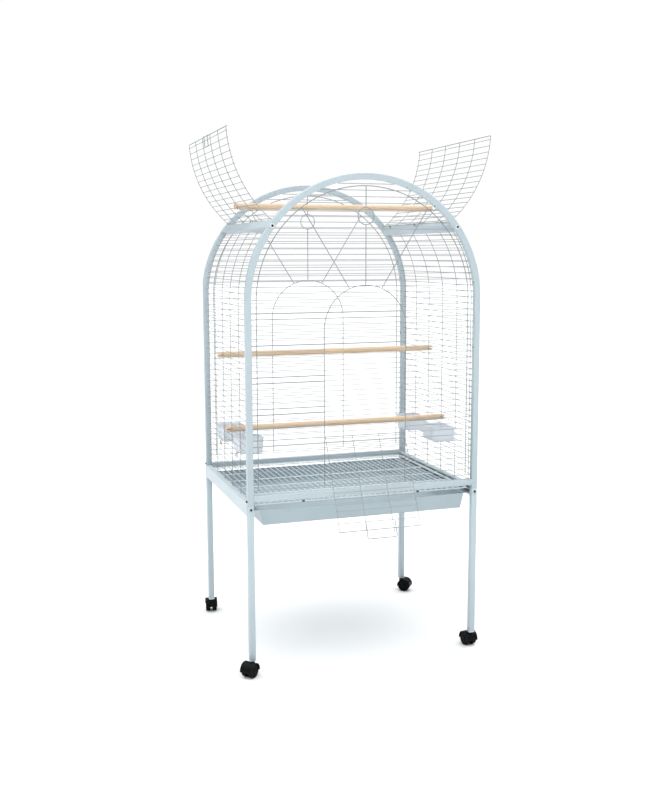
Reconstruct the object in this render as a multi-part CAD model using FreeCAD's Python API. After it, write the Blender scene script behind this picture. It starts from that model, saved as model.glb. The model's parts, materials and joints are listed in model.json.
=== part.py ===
import FreeCAD, Part
import math
import os

# Bird cage on a wheeled stand: a square-tube frame with a round top, welded wire panels, two top
# flaps and a drawbridge door that stand open, a litter tray under a floor grate, feeder cups,
# wooden perches and four swivel casters.
# X runs left to right, Y front to back, Z up. The origin is on the floor under the cage's middle.

# Frame
cage_width = 800.0
cage_depth = 650.0
tube = 20.0
tube_wall = 1.2
spring_height = 1200.0
leg_bottom = 53.0
joint_height = 562.0
rail_bottom = 573.0
rear_rail_drop = 14.0

# Wire
wire = 1.1
frame_wire = 1.5
row_pitch = 20.0

# Round top and its flaps
crossbar_angle = 37.0
crossbar_height = 30.0
flap_hinge_angle = 40.3
flap_length = 322.0
flap_open = 91.0

# Front door
door_half_width = 137.0
door_hinge_height = 767.0
door_length = 312.0
door_open = 153.4

# Tray, grate, perches and cups
tray_bottom = 492.0
tray_top = 544.0
grate_height = 559.5
dowel = 10.5
cup_bottom = 699.0
cup_top = 748.0

# Casters
wheel_radius = 23.0
caster_trail = 15.0

# Worked out from the sizes above
half_width = cage_width / 2
half_depth = cage_depth / 2
post_x = half_width - tube / 2
post_y = half_depth - tube / 2
inner_x = half_width - tube
inner_y = half_depth - tube
crown = half_width - tube / 2
side_plane = half_width - 12.0
face_plane = half_depth - 13.0
eye_gap = 0.05
eye_wall = 0.75


def block(x, y, z):
    """A box from three (low, high) pairs."""
    return Part.makeBox(x[1] - x[0], y[1] - y[0], z[1] - z[0], FreeCAD.Vector(x[0], y[0], z[0]))


def rod(start, end, radius):
    """A round bar between two points."""
    base = FreeCAD.Vector(*start)
    along = FreeCAD.Vector(*end) - base
    return Part.makeCylinder(radius, along.Length, base, along)


def bent_rod(y, centre, bend, radius, start, end):
    """A round bar bent in a plane across Y, from start to end in degrees above +X."""
    middle = FreeCAD.Vector(centre[0], y, centre[1])
    angle = math.radians(start)
    outward = FreeCAD.Vector(math.cos(angle), 0, math.sin(angle))
    tangent = FreeCAD.Vector(-math.sin(angle), 0, math.cos(angle))
    section = Part.Face(Part.Wire(Part.makeCircle(radius, middle + outward * bend, tangent)))
    return section.revolve(middle, FreeCAD.Vector(0, -1, 0), end - start)


def wire_along(points, radius, bend):
    """A bent wire through the points, with every inner corner rounded."""
    corners = [FreeCAD.Vector(*p) for p in points]
    edges = []
    last = corners[0]
    for before, corner, after in zip(corners, corners[1:], corners[2:]):
        back = (before - corner).normalize()
        ahead = (after - corner).normalize()
        half = back.getAngle(ahead) / 2
        reach = bend / math.tan(half)
        middle = corner + (back + ahead).normalize() * (bend / math.sin(half) - bend)
        edges.append(Part.makeLine(last, corner + back * reach))
        edges.append(Part.Arc(corner + back * reach, middle, corner + ahead * reach).toShape())
        last = corner + ahead * reach
    edges.append(Part.makeLine(last, corners[-1]))
    spine = Part.Wire(edges)
    start = Part.Wire(Part.makeCircle(radius, corners[0], corners[1] - corners[0]))
    return spine.makePipeShell([start], True, False)


def mirrored(shape):
    """The same piece on the other side of the cage."""
    return shape.mirror(FreeCAD.Vector(0, 0, 0), FreeCAD.Vector(1, 0, 0))


def save(node, solids):
    """Writes one sub-part's solids to its own file."""
    shape = solids[0] if len(solids) == 1 else Part.makeCompound(solids)
    shape.exportStep("parts/" + node + ".step")


def save_pair(node, right_solids):
    """Writes a right sub-part and its mirror image."""
    save(node + "_right", right_solids)
    save(node + "_left", [mirrored(s) for s in right_solids])


def hollow_bar(x, y, z, axis):
    """A rectangular tube along one axis (0, 1 or 2)."""
    spans = [x, y, z]
    inside = [(a + tube_wall, b - tube_wall) for a, b in spans]
    inside[axis] = spans[axis]
    return block(*spans).cut(block(*inside))


# ---------------------------------------------------------------- screws

screw_shank = 2.0
screw_head = 3.6
screw_head_height = 3.2
socket_depth = 1.8
socket_width = 1.7


def socket_screw(point, inward, shank_length):
    """A socket-head screw whose head rests at a point and whose shank goes inward."""
    foot = FreeCAD.Vector(*point)
    into = FreeCAD.Vector(*inward)
    top = foot - into * screw_head_height
    head = Part.makeCylinder(screw_head, screw_head_height, top, into)
    shank = Part.makeCylinder(screw_shank, shank_length, foot, into)
    recess = hexagon(socket_width).extrude(FreeCAD.Vector(0, 0, socket_depth))
    recess.Placement = FreeCAD.Placement(top, FreeCAD.Rotation(FreeCAD.Vector(0, 0, 1), into))
    return head.fuse(shank).cut(recess)


def hexagon(radius):
    """A flat six-sided face about the origin."""
    corners = []
    for n in range(7):
        angle = math.radians(60 * n)
        corners.append(FreeCAD.Vector(radius * math.cos(angle), radius * math.sin(angle), 0))
    return Part.Face(Part.makePolygon(corners))


def panel_screw(point, inward):
    """A small round-headed tapping screw."""
    foot = FreeCAD.Vector(*point)
    into = FreeCAD.Vector(*inward)
    head = Part.makeCone(1.8, 2.8, 1.6, foot - into * 1.6, into)
    return head.fuse(Part.makeCylinder(1.4, 8.0, foot, into))


# ---------------------------------------------------------------- tubes

leg_screw_height = 550.0
post_screw_height = 575.0
crossbar_x = crown * math.cos(math.radians(crossbar_angle))
crossbar_z = spring_height + crown * math.sin(math.radians(crossbar_angle))
panel_screw_angles = (8.3, 52.0)
panel_screw_height = 1040.0


def leg(side, end):
    """A straight leg tube. side is -1 or 1 in X, end is -1 or 1 in Y."""
    x, y = side * post_x, end * post_y
    half = tube / 2
    shape = hollow_bar((x - half, x + half), (y - half, y + half), (leg_bottom, joint_height), 2)
    face = end * half_depth
    return shape.cut(rod((x, face, leg_screw_height), (x, face - end * 3, leg_screw_height), 2.2))


def hoop(end):
    """The front or rear tube: two posts and a half-round top, bent from one length."""
    y = end * post_y
    half = tube / 2
    bore = half - tube_wall
    centre = FreeCAD.Vector(0, y, spring_height)
    outer = Part.makePlane(tube, tube, FreeCAD.Vector(post_x - half, y - half, spring_height))
    inner = Part.makePlane(2 * bore, 2 * bore, FreeCAD.Vector(post_x - bore, y - bore, spring_height))
    section = outer.cut(inner).Faces[0]
    top = section.revolve(centre, FreeCAD.Vector(0, -1, 0), 180)
    post = section.extrude(FreeCAD.Vector(0, 0, joint_height - spring_height))
    shape = top.fuse([post, mirrored(post)]).removeSplitter()
    holes = []
    for side in (-1, 1):
        x = side * crossbar_x
        holes.append(rod((x, y - tube, crossbar_z), (x, y + tube, crossbar_z), 2.2))
        out = side * half_width
        holes.append(rod((out, y, post_screw_height), (out - side * 3, y, post_screw_height), 2.2))
        for point, into in panel_screw_places(side, end):
            tip = FreeCAD.Vector(*point) + FreeCAD.Vector(*into) * 3
            holes.append(rod(point, tuple(tip), 1.45))
    return shape.cut(holes)


def panel_screw_places(side, end):
    """Where the tapping screws enter one side of a hoop's inner face, and which way they point."""
    y = end * post_y
    places = [((side * inner_x, y, panel_screw_height), (side, 0, 0))]
    for degrees in panel_screw_angles:
        angle = math.radians(degrees)
        into = (side * math.cos(angle), 0, math.sin(angle))
        reach = crown - tube / 2
        places.append(((into[0] * reach, y, spring_height + into[2] * reach), into))
    return places


def sleeve(side, end):
    """The square bar inside a leg joint, threaded for its two screws."""
    x, y = side * post_x, end * post_y
    half = tube / 2 - tube_wall - 0.2
    shape = block((x - half, x + half), (y - half, y + half), (joint_height - 32, joint_height + 32))
    front = y + end * half
    shape = shape.cut(rod((x, front, leg_screw_height), (x, front - end * 12, leg_screw_height), 2.05))
    out = x + side * half
    return shape.cut(rod((out, y, post_screw_height), (out - side * 12, y, post_screw_height), 2.05))


def face_rail(end):
    """The tube across the front or the rear, between the posts."""
    y = sorted((end * half_depth, end * inner_y))
    low = rail_bottom - (rear_rail_drop if end > 0 else 0)
    return hollow_bar((-inner_x, inner_x), y, (low, low + tube), 0)


sheet = 1.2


def side_rail():
    """The folded sheet between the right posts, with a web and a top flange."""
    web = block((half_width - sheet, half_width), (-inner_y, inner_y), (525, 570))
    flange = block((inner_x, half_width - sheet), (-inner_y, inner_y), (570 - sheet, 570))
    lip = block((inner_x, inner_x + sheet), (-inner_y, inner_y), (564, 570 - sheet))
    return web.fuse([flange, lip]).removeSplitter()


def runner():
    """The right runner: a shelf for the tray's lip and a ledge for the grate."""
    outer = half_width - sheet
    web = block((outer - sheet, outer), (-inner_y, inner_y), (534, 557.2))
    shelf = block((362, outer - sheet), (-inner_y, inner_y), (tray_top - 2.2, tray_top - 1.0))
    ledge = block((371, outer - sheet), (-inner_y, inner_y), (557.2 - sheet, 557.2))
    return web.fuse([shelf, ledge]).removeSplitter()


def placed_on_crossbar(shape):
    """Moves a piece drawn about the right crossbar's middle to its place."""
    turn = FreeCAD.Rotation(FreeCAD.Vector(0, 1, 0), -crossbar_angle)
    shape.Placement = FreeCAD.Placement(FreeCAD.Vector(crossbar_x, 0, crossbar_z), turn)
    return shape


def crossbar():
    """The right crossbar between the hoops."""
    half = crossbar_height / 2
    return placed_on_crossbar(hollow_bar((-10, 10), (-inner_y, inner_y), (-half, half), 1))


def crossbar_plug(end):
    """The threaded block inside one end of the right crossbar."""
    y = sorted((end * inner_y, end * (inner_y - 20)))
    plug = block((-8.6, 8.6), y, (-13.6, 13.6))
    return placed_on_crossbar(plug.cut(rod((0, y[0], 0), (0, y[1], 0), 2.05)))


# ---------------------------------------------------------------- wire panels


def side_panel():
    """The right panel: rows along Y, and uprights that follow the posts and the round top."""
    solids = []
    arc_length = side_plane * math.radians(34.2)
    rows = int((spring_height - 585) / row_pitch) + 1
    for n in range(rows):
        z = 585 + row_pitch * n
        solids.append(rod((side_plane, -inner_y, z), (side_plane, inner_y, z), wire))
    past = 585 + row_pitch * rows - spring_height
    while past < arc_length:
        angle = past / side_plane
        x = side_plane * math.cos(angle)
        z = spring_height + side_plane * math.sin(angle)
        solids.append(rod((x, -inner_y, z), (x, inner_y, z), wire))
        past += row_pitch
    bend = side_plane - 2 * wire
    for y in (-283, -175, -58.5, 58.5, 175, 283):
        solids.append(rod((bend, y, 570), (bend, y, spring_height), wire))
        solids.append(bent_rod(y, (0, spring_height), bend, wire, 0, 34.4))
    return solids


arch_half = 140.0
arch_spring = 1110.0
edge_x = 361.0
first_row = 607.0
ring_height = 1467.0
ring_radius = 27.0


def face_panel(end, with_door):
    """The front or rear panel: rows behind the tube's opening and a pattern of frame wires."""
    y = end * face_plane
    inside = end * (face_plane - wire - frame_wire)
    solids = []
    z = first_row
    while z < spring_height + inner_x - 5:
        over = max(0.0, z + wire - spring_height)
        reach = math.sqrt(inner_x ** 2 - over ** 2)
        opened = with_door and door_hinge_height < z < door_hinge_height + 300
        if opened:
            for side in (-1, 1):
                solids.append(rod((side * (arch_half - 0.6), y, z), (side * reach, y, z), wire))
        else:
            solids.append(rod((-reach, y, z), (reach, y, z), wire))
        z += row_pitch
    foot = first_row - frame_wire
    for x in (-edge_x, edge_x):
        solids.append(rod((x, inside, foot), (x, inside, spring_height), frame_wire))
    for x in (-arch_half, arch_half):
        solids.append(rod((x, inside, foot), (x, inside, arch_spring), frame_wire))
    solids.append(bent_rod(inside, (0, spring_height), edge_x, frame_wire, 0, 180))
    solids.append(bent_rod(inside, (0, arch_spring), arch_half, frame_wire, 0, 180))
    solids.append(bent_rod(inside, (0, ring_height), ring_radius, frame_wire, 0, 360))
    low = arch_spring + arch_half + frame_wire
    solids.append(rod((0, inside, low), (0, inside, ring_height - ring_radius - frame_wire), frame_wire))
    high = spring_height + edge_x - frame_wire
    solids.append(rod((0, inside, ring_height + ring_radius + frame_wire), (0, inside, high), frame_wire))
    for side in (-1, 1):
        solids.append(rod((side * 56, inside, 1241.5), (side * 210.8, inside, 1490.0), frame_wire))
    return solids


def eye(point, length):
    """A small eye of wire, drawn as a short sleeve, around a wire along X."""
    x, y, z = point
    bore = wire + eye_gap
    outer = rod((x - length / 2, y, z), (x + length / 2, y, z), bore + eye_wall)
    return outer.cut(rod((x - length / 2, y, z), (x + length / 2, y, z), bore))


def opened_door(shapes):
    """Turns pieces drawn with the door shut, hinge at the origin, to the open door's place."""
    for shape in shapes:
        shape.rotate(FreeCAD.Vector(0, 0, 0), FreeCAD.Vector(1, 0, 0), door_open)
        shape.translate(FreeCAD.Vector(0, -face_plane, door_hinge_height))
    return shapes


def front_door():
    """The drawbridge door: four uprights that hang on a row of the panel, and its own rows."""
    solids = []
    stand_off = wire + eye_gap + eye_wall + wire
    for x in (-door_half_width, -door_half_width / 3, door_half_width / 3, door_half_width):
        tip = door_length + (16 if 0 < x < door_half_width else 1)
        solids.append(rod((x, -stand_off, 0), (x, -stand_off, tip), wire))
        solids.append(eye((x, 0, 0), 3.0))
    reach = door_half_width + wire
    for n in range(15):
        t = 5 + row_pitch * n
        y = -stand_off - 2 * wire
        solids.append(rod((-reach, y, t), (reach, y, t), wire))
    y = -stand_off - wire - frame_wire
    solids.append(rod((-reach, y, door_length), (reach, y, door_length), frame_wire))
    return opened_door(solids)


def door_latch():
    """The wire loop past the door's free end."""
    y = -(2 * wire + eye_gap + eye_wall + wire + 3 * frame_wire)
    t0, t1 = door_length - 25, door_length + 28
    path = [(-45, y, t0), (-45, y, t1), (55, y, t1), (55, y, t0)]
    return opened_door([wire_along(path, frame_wire, 7.0)])


# ---------------------------------------------------------------- top flaps

hinge_rod = 1.5
upright_crown = crown + hinge_rod + eye_gap + eye_wall + wire
hinge_x = crown * math.cos(math.radians(flap_hinge_angle))
hinge_z = spring_height + crown * math.sin(math.radians(flap_hinge_angle))


def on_round(radius, along):
    """The point (x, z) that is so far along a closed right flap from its hinge."""
    angle = math.radians(flap_hinge_angle) + along / crown
    return radius * math.cos(angle), spring_height + radius * math.sin(angle)


def flap():
    """The right flap, drawn shut on the round top."""
    solids = []
    end_angle = flap_hinge_angle + math.degrees(flap_length / crown)
    for y in (-290, -174, -58, 58, 174, 290):
        solids.append(bent_rod(y, (0, spring_height), upright_crown, wire, flap_hinge_angle, end_angle))
        bore = hinge_rod + eye_gap
        start, end = (hinge_x, y - 1.5, hinge_z), (hinge_x, y + 1.5, hinge_z)
        solids.append(rod(start, end, bore + eye_wall).cut(rod(start, end, bore)))
    for n in range(16):
        x, z = on_round(upright_crown - 2 * wire, 10 + row_pitch * n)
        solids.append(rod((x, -291, z), (x, 291, z), wire))
    x, z = on_round(upright_crown - wire - frame_wire, flap_length)
    solids.append(rod((x, -291, z), (x, 291, z), frame_wire))
    return solids


def flap_latch():
    """The wire loop at the free edge, folded back over the flap and drawn shut on the right one."""
    outer = upright_crown + 2.0
    x0, z0 = on_round(outer, flap_length + 2)
    x1, z1 = on_round(outer, flap_length - 34)
    path = [(x0, -26, z0), (x1, -26, z1), (x1, 26, z1), (x0, 26, z0)]
    return wire_along(path, frame_wire, 7.0)


def swung_open(shapes):
    """Turns closed right-flap pieces to the open flap's place."""
    for shape in shapes:
        shape.rotate(FreeCAD.Vector(hinge_x, 0, hinge_z), FreeCAD.Vector(0, 1, 0), flap_open)
    return shapes


def flap_hinge():
    """The rod that the right flap hangs on, and the lugs that carry it on the crossbar."""
    angle = math.radians(flap_hinge_angle - crossbar_angle)
    out = crown * math.cos(angle) - crown
    up = crown * math.sin(angle)
    pieces = [rod((out, -300, up), (out, 300, up), hinge_rod)]
    for y in (-232, 0, 232):
        span = (y - 1.5, y + 1.5)
        lug = rod((out, span[0], up), (out, span[1], up), 3.2)
        lug = lug.fuse(block((out - 3.2, out + 3.2), span, (crossbar_height / 2, up)))
        pieces.append(lug.cut(rod((out, span[0], up), (out, span[1], up), hinge_rod)))
    return [placed_on_crossbar(p) for p in pieces]


# ---------------------------------------------------------------- tray and grate


def frustum(low, high, z0, z1):
    """A tapered block. low and high are the half sizes (x, y) at its two heights."""
    wires = []
    for (x, y), z in ((low, z0), (high, z1)):
        corners = [(-x, -y, z), (x, -y, z), (x, y, z), (-x, y, z), (-x, -y, z)]
        wires.append(Part.makePolygon([FreeCAD.Vector(*c) for c in corners]))
    return Part.makeLoft(wires, True, True)


def tray():
    """The litter tray: tapered walls, a rolled rim and side lips that ride on the runners."""
    skin = 0.8
    body = frustum((347, 305), (356, 312), tray_bottom, tray_top)
    hollow = frustum((347 - skin, 305 - skin), (356 - skin, 312 - skin), tray_bottom + skin, tray_top + 0.4)
    body = body.cut(hollow)
    lips = []
    for side in (-1, 1):
        x = sorted((side * 355.4, side * 372))
        lips.append(block(x, (-311, 311), (tray_top - skin, tray_top)))
    for end in (-1, 1):
        y = sorted((end * 308.5, end * 311.4))
        lips.append(block((-355.4, 355.4), y, (tray_top - skin, tray_top)))
    return body.fuse(lips).removeSplitter()


grate_side = 374.0
grate_end = 300.0
grate_frame = 2.0


def grate():
    """The floor grate: a frame of thick wire, cross bars and close wires along Y on top."""
    solids = []
    z = grate_height
    for x in (-grate_side, grate_side):
        solids.append(rod((x, -grate_end - grate_frame, z), (x, grate_end + grate_frame, z), grate_frame))
    reach = grate_side - grate_frame
    for y in (-grate_end, grate_end):
        solids.append(rod((-reach, y, z), (reach, y, z), grate_frame))
    lift = grate_frame - frame_wire
    for n in range(6):
        y = -275 + 110 * n
        solids.append(rod((-reach, y, z + lift), (reach, y, z + lift), frame_wire))
    top = z + grate_frame + wire
    for n in range(37):
        x = -360 + row_pitch * n
        solids.append(rod((x, -grate_end - 1, top), (x, grate_end + 1, top), wire))
    return solids


def grate_clip(x):
    """A small spring clip, open below, around the grate's front wire."""
    start, end = (x - 4, -grate_end, grate_height), (x + 4, -grate_end, grate_height)
    ring = rod(start, end, grate_frame + 1.0).cut(rod(start, end, grate_frame))
    gap = (grate_height - 5, grate_height - 1)
    ring = ring.cut(block((x - 5, x + 5), (-grate_end - 1.2, -grate_end + 1.2), gap))
    return ring


# ---------------------------------------------------------------- perches and cups


def slotted_perch(y, z):
    """A dowel whose slotted ends push over a row of each side panel."""
    reach = half_width + 2
    shape = rod((-reach, y, z), (reach, y, z), dowel)
    for side in (-1, 1):
        x = sorted((side * (reach - 16), side * (reach + 1)))
        shape = shape.cut(block(x, (y - 11, y + 11), (z - 1.5, z + 1.5)))
    return shape


top_perch_y = -18.0
perch_seat = 70.0


def top_perch():
    """The dowel across the open top, notched below where it sits on a wire of each flap."""
    seat = flap_wire_place(perch_seat)
    z = seat[1] + wire + 0.3 + 3.5
    reach = seat[0] + 8
    shape = rod((-reach, top_perch_y, z), (reach, top_perch_y, z), dowel)
    for side in (-1, 1):
        x = sorted((side * (seat[0] - 2.0), side * (seat[0] + 2.0)))
        low = z - dowel - 1
        shape = shape.cut(block(x, (top_perch_y - 11, top_perch_y + 11), (low, z - 3.5)))
    return shape


def flap_wire_place(along):
    """Where a cross wire of the open right flap is, as (x, z)."""
    x, z = on_round(upright_crown - 2 * wire, along)
    turn = math.radians(flap_open)
    dx, dz = x - hinge_x, z - hinge_z
    return (
        hinge_x + dx * math.cos(turn) + dz * math.sin(turn),
        hinge_z - dx * math.sin(turn) + dz * math.cos(turn),
    )


cup_back = 384.3
cup_front = 297.0
cup_middle = 118.5
cup_half = 59.5


def cup_outline(z, front, half, back, corner):
    """A cup's outline at one height: a straight back and a front with two round corners."""
    y0, y1 = cup_middle - half, cup_middle + half
    slant = corner * (1 - math.sqrt(0.5))
    near = FreeCAD.Vector(front + corner, y0, z)
    near_end = FreeCAD.Vector(front, y0 + corner, z)
    far = FreeCAD.Vector(front, y1 - corner, z)
    far_end = FreeCAD.Vector(front + corner, y1, z)
    back_far = FreeCAD.Vector(back, y1, z)
    back_near = FreeCAD.Vector(back, y0, z)
    edges = [
        Part.makeLine(back_near, near),
        Part.Arc(near, FreeCAD.Vector(front + slant, y0 + slant, z), near_end).toShape(),
        Part.makeLine(near_end, far),
        Part.Arc(far, FreeCAD.Vector(front + slant, y1 - slant, z), far_end).toShape(),
        Part.makeLine(far_end, back_far),
        Part.makeLine(back_far, back_near),
    ]
    return Part.Wire(edges)


def cup():
    """The right rear feeder cup: a tapered tub with a rounded front and a lip."""
    skin = 1.8
    low = cup_outline(cup_bottom, cup_front + 8, cup_half - 5, cup_back - 1, 22)
    high = cup_outline(cup_top, cup_front + 3, cup_half - 3, cup_back, 30)
    body = Part.makeLoft([low, high], True, True)
    low = cup_outline(cup_bottom + skin, cup_front + 8 + skin, cup_half - 5 - skin, cup_back - 1 - skin, 20)
    high = cup_outline(cup_top + 1, cup_front + 3 + skin, cup_half - 3 - skin, cup_back - skin, 28)
    hollow = Part.makeLoft([low, high], True, True)
    lip_low = cup_top - 2.4
    lip = Part.Face(cup_outline(lip_low, cup_front, cup_half, cup_back, 32))
    lip = lip.extrude(FreeCAD.Vector(0, 0, cup_top - lip_low))
    return body.fuse(lip).cut(hollow).removeSplitter()


def cup_holder():
    """The bent wire under the right rear cup, welded to a row of the side panel."""
    x = side_plane - wire - frame_wire
    z = cup_bottom - frame_wire - 0.3
    y0, y1 = cup_middle - 9, cup_middle + 9
    path = [(x, y0, 682), (x, y0, z), (x - 56, y0, z), (x - 56, y1, z), (x, y1, z), (x, y1, 682)]
    return wire_along(path, frame_wire, 4.0)


def to_front(shape):
    """The same piece at the front of the cage."""
    return shape.mirror(FreeCAD.Vector(0, 0, 0), FreeCAD.Vector(0, 1, 0))


# ---------------------------------------------------------------- casters

fender = 26.0
hood_half = 21.5
web_half = 4.5
stem_radius = 3.95
plug_flange = 2.5


def leg_plug(side, end):
    """The plastic plug in a leg's foot, bored for the caster's stem."""
    x, y = side * post_x, end * post_y
    half = tube / 2
    core = half - tube_wall - 0.2
    flange = block((x - half, x + half), (y - half, y + half), (leg_bottom - plug_flange, leg_bottom))
    body = block((x - core, x + core), (y - core, y + core), (leg_bottom, leg_bottom + 30))
    bore = rod((x, y, leg_bottom - plug_flange), (x, y, leg_bottom + 25), stem_radius + eye_gap)
    return flange.fuse(body).cut(bore).removeSplitter()


def caster_housing():
    """The hood over the twin wheels, with the stem's boss. The stem is at the origin."""
    axle_x, axle_z = caster_trail, wheel_radius
    hood = rod((axle_x, -hood_half, axle_z), (axle_x, hood_half, axle_z), fender)
    hood = hood.cut(block((-40, 60), (-30, 30), (-10, axle_z - 3)))
    web = rod((axle_x, -web_half, axle_z), (axle_x, web_half, axle_z), 10)
    boss = rod((0, 0, axle_z), (0, 0, 49.2), 8)
    shape = hood.fuse([web, boss])
    for side in (-1, 1):
        start, end = (axle_x, side * web_half, axle_z), (axle_x, side * (hood_half + 1), axle_z)
        shape = shape.cut(rod(start, end, wheel_radius + 0.8))
    shape = shape.cut(rod((axle_x, -30, axle_z), (axle_x, 30, axle_z), 3.0 + eye_gap))
    return shape.cut(rod((0, 0, 34), (0, 0, 60), stem_radius)).removeSplitter()


def caster_stem():
    """The steel stem with its thrust collar."""
    stem = rod((0, 0, 34), (0, 0, leg_bottom + 22), stem_radius)
    return stem.fuse(rod((0, 0, 49.3), (0, 0, 50.4), 7.0))


def caster_axle():
    """The pin through the hood's web that carries both wheels."""
    return rod((caster_trail, -18, wheel_radius), (caster_trail, 18, wheel_radius), 3.0)


def caster_wheel(side):
    """One of the twin wheels, a moulded disc with a rounded tread and a shallow dish."""
    profile = [(3, 5), (21.5, 5), (23, 6.2), (23, 17), (21.5, 19.2), (17, 20), (16, 19), (5, 18.5), (3, 18.5)]
    points = [FreeCAD.Vector(caster_trail, side * y, wheel_radius + r) for r, y in profile]
    face = Part.Face(Part.makePolygon(points + points[:1]))
    centre = FreeCAD.Vector(caster_trail, 0, wheel_radius)
    wheel = face.revolve(centre, FreeCAD.Vector(0, 1, 0), 360)
    if wheel.Volume < 0:
        wheel.reverse()
    return wheel


casters = {
    "front_left": (-1, -1, 222.0),
    "front_right": (1, -1, 98.0),
    "rear_left": (-1, 1, 82.0),
    "rear_right": (1, 1, -38.0),
}


def at_leg(shape, side, end, heading):
    """Turns a caster piece to its heading and puts it under a leg."""
    shape.rotate(FreeCAD.Vector(0, 0, 0), FreeCAD.Vector(0, 0, 1), heading)
    shape.translate(FreeCAD.Vector(side * post_x, end * post_y, 0))
    return shape


# ---------------------------------------------------------------- the whole cage


def save_frame():
    """The tubes, rails, crossbars and what joins them."""
    corners = [(side, end) for side in (-1, 1) for end in (-1, 1)]
    for name, (side, end, _) in casters.items():
        save("leg_" + name, [leg(side, end)])
    save("post_sleeves", [sleeve(*c) for c in corners])
    save("leg_plugs", [leg_plug(*c) for c in corners])
    save("hoop_front", [hoop(-1)])
    save("hoop_rear", [hoop(1)])
    save("front_rail", [face_rail(-1)])
    save("rear_rail", [face_rail(1)])
    save_pair("side_rail", [side_rail()])
    save_pair("runner", [runner()])
    save_pair("crossbar", [crossbar()])
    plugs = [crossbar_plug(-1), crossbar_plug(1)]
    save("crossbar_plugs", plugs + [mirrored(p) for p in plugs])
    save_pair("flap_hinge", flap_hinge())


def save_fasteners():
    """Every screw and washer."""
    washer = 1.2
    joint_screws, bar_screws, washers, small = [], [], [], []
    for side in (-1, 1):
        for end in (-1, 1):
            x, y = side * post_x, end * post_y
            joint_screws.append(socket_screw((x, end * half_depth, leg_screw_height), (0, -end, 0), 12))
            joint_screws.append(socket_screw((side * half_width, y, post_screw_height), (-side, 0, 0), 12))
            bar_x, face = side * crossbar_x, end * half_depth
            bar_screws.append(socket_screw((bar_x, face + end * washer, crossbar_z), (0, -end, 0), 36))
            start, top = (bar_x, face, crossbar_z), (bar_x, face + end * washer, crossbar_z)
            washers.append(rod(start, top, 7.0).cut(rod(start, top, 2.2)))
            for point, into in panel_screw_places(side, end):
                small.append(panel_screw(point, into))
    save("joint_screws", joint_screws)
    save("crossbar_screws", bar_screws)
    save("crossbar_washers", washers)
    save("panel_screws", small)


def save_wirework():
    """The panels, the flaps, the door and the wires that hold or latch things."""
    save_pair("panel", side_panel())
    save("panel_front", face_panel(-1, True))
    save("panel_rear", face_panel(1, False))
    save("front_door", front_door())
    save("door_latch", door_latch())
    save_pair("top_flap", swung_open(flap()))
    save("flap_latch", [mirrored(s) for s in swung_open([flap_latch()])])
    holders = [cup_holder(), to_front(cup_holder())]
    save("cup_holders", holders + [mirrored(h) for h in holders])


def save_fittings():
    """The tray, the grate, the perches and the cups."""
    save("tray", [tray()])
    save("grate", grate())
    save("grate_clips", [grate_clip(-210), grate_clip(190)])
    save("perch_top", [top_perch()])
    save("perch_middle", [slotted_perch(71.5, 1005)])
    save("perch_low", [slotted_perch(-46, 765)])
    save_pair("cup_rear", [cup()])
    save_pair("cup_front", [to_front(cup())])


def save_casters():
    """The four casters, each turned its own way."""
    for name, where in casters.items():
        save("caster_housing_" + name, [at_leg(caster_housing(), *where)])
        save("caster_stem_" + name, [at_leg(caster_stem(), *where)])
        save("caster_axle_" + name, [at_leg(caster_axle(), *where)])
        wheels = [at_leg(caster_wheel(side), *where) for side in (-1, 1)]
        save("caster_wheels_" + name, wheels)


os.makedirs("parts", exist_ok=True)
save_frame()
save_fasteners()
save_wirework()
save_fittings()
save_casters()
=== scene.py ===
"""Looks of a wire bird cage on a wheeled tube stand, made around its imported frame.

Each sub-assembly is a class that reads its places from the frame's own boxes and builds its meshes.
Lengths are metres, X right, Y back, Z up, with the origin on the floor under the cage.
"""

import json
import logging
import math
from dataclasses import dataclass, field
from enum import Enum
from typing import Any, Callable, Iterable, Sequence

import bmesh
import bpy
from mathutils import Matrix, Vector


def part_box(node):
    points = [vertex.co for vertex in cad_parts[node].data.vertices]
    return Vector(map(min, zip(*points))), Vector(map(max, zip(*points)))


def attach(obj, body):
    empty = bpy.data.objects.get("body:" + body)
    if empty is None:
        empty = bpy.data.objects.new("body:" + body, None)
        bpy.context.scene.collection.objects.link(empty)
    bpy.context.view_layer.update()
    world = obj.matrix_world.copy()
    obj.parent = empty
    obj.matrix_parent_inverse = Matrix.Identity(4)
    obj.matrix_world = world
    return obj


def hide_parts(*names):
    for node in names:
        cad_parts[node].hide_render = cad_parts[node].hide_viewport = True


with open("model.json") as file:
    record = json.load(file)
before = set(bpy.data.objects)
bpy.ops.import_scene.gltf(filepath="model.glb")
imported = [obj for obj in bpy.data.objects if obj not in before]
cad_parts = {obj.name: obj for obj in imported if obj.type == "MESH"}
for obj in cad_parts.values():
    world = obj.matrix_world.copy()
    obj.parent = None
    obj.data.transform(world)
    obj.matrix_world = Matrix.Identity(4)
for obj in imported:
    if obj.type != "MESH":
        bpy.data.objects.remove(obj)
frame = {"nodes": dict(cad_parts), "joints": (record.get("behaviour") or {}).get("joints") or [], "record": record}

LOG = logging.getLogger("bird_cage")
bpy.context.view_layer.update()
MM = 0.001
WHITE = (1.0, 1.0, 1.0, 1.0)
SIDES = {"left": -1, "right": 1}
ENDS = {"front": -1, "rear": 1}
PATCH_OCTAVES = 3.0
CORNERS = {f"{end}_{side}": (SIDES[side], ENDS[end]) for end in ENDS for side in SIDES}

Point = tuple[float, float, float]
Ring = list[Vector]


# ---------------------------------------------------------------- colour and nodes


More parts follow.
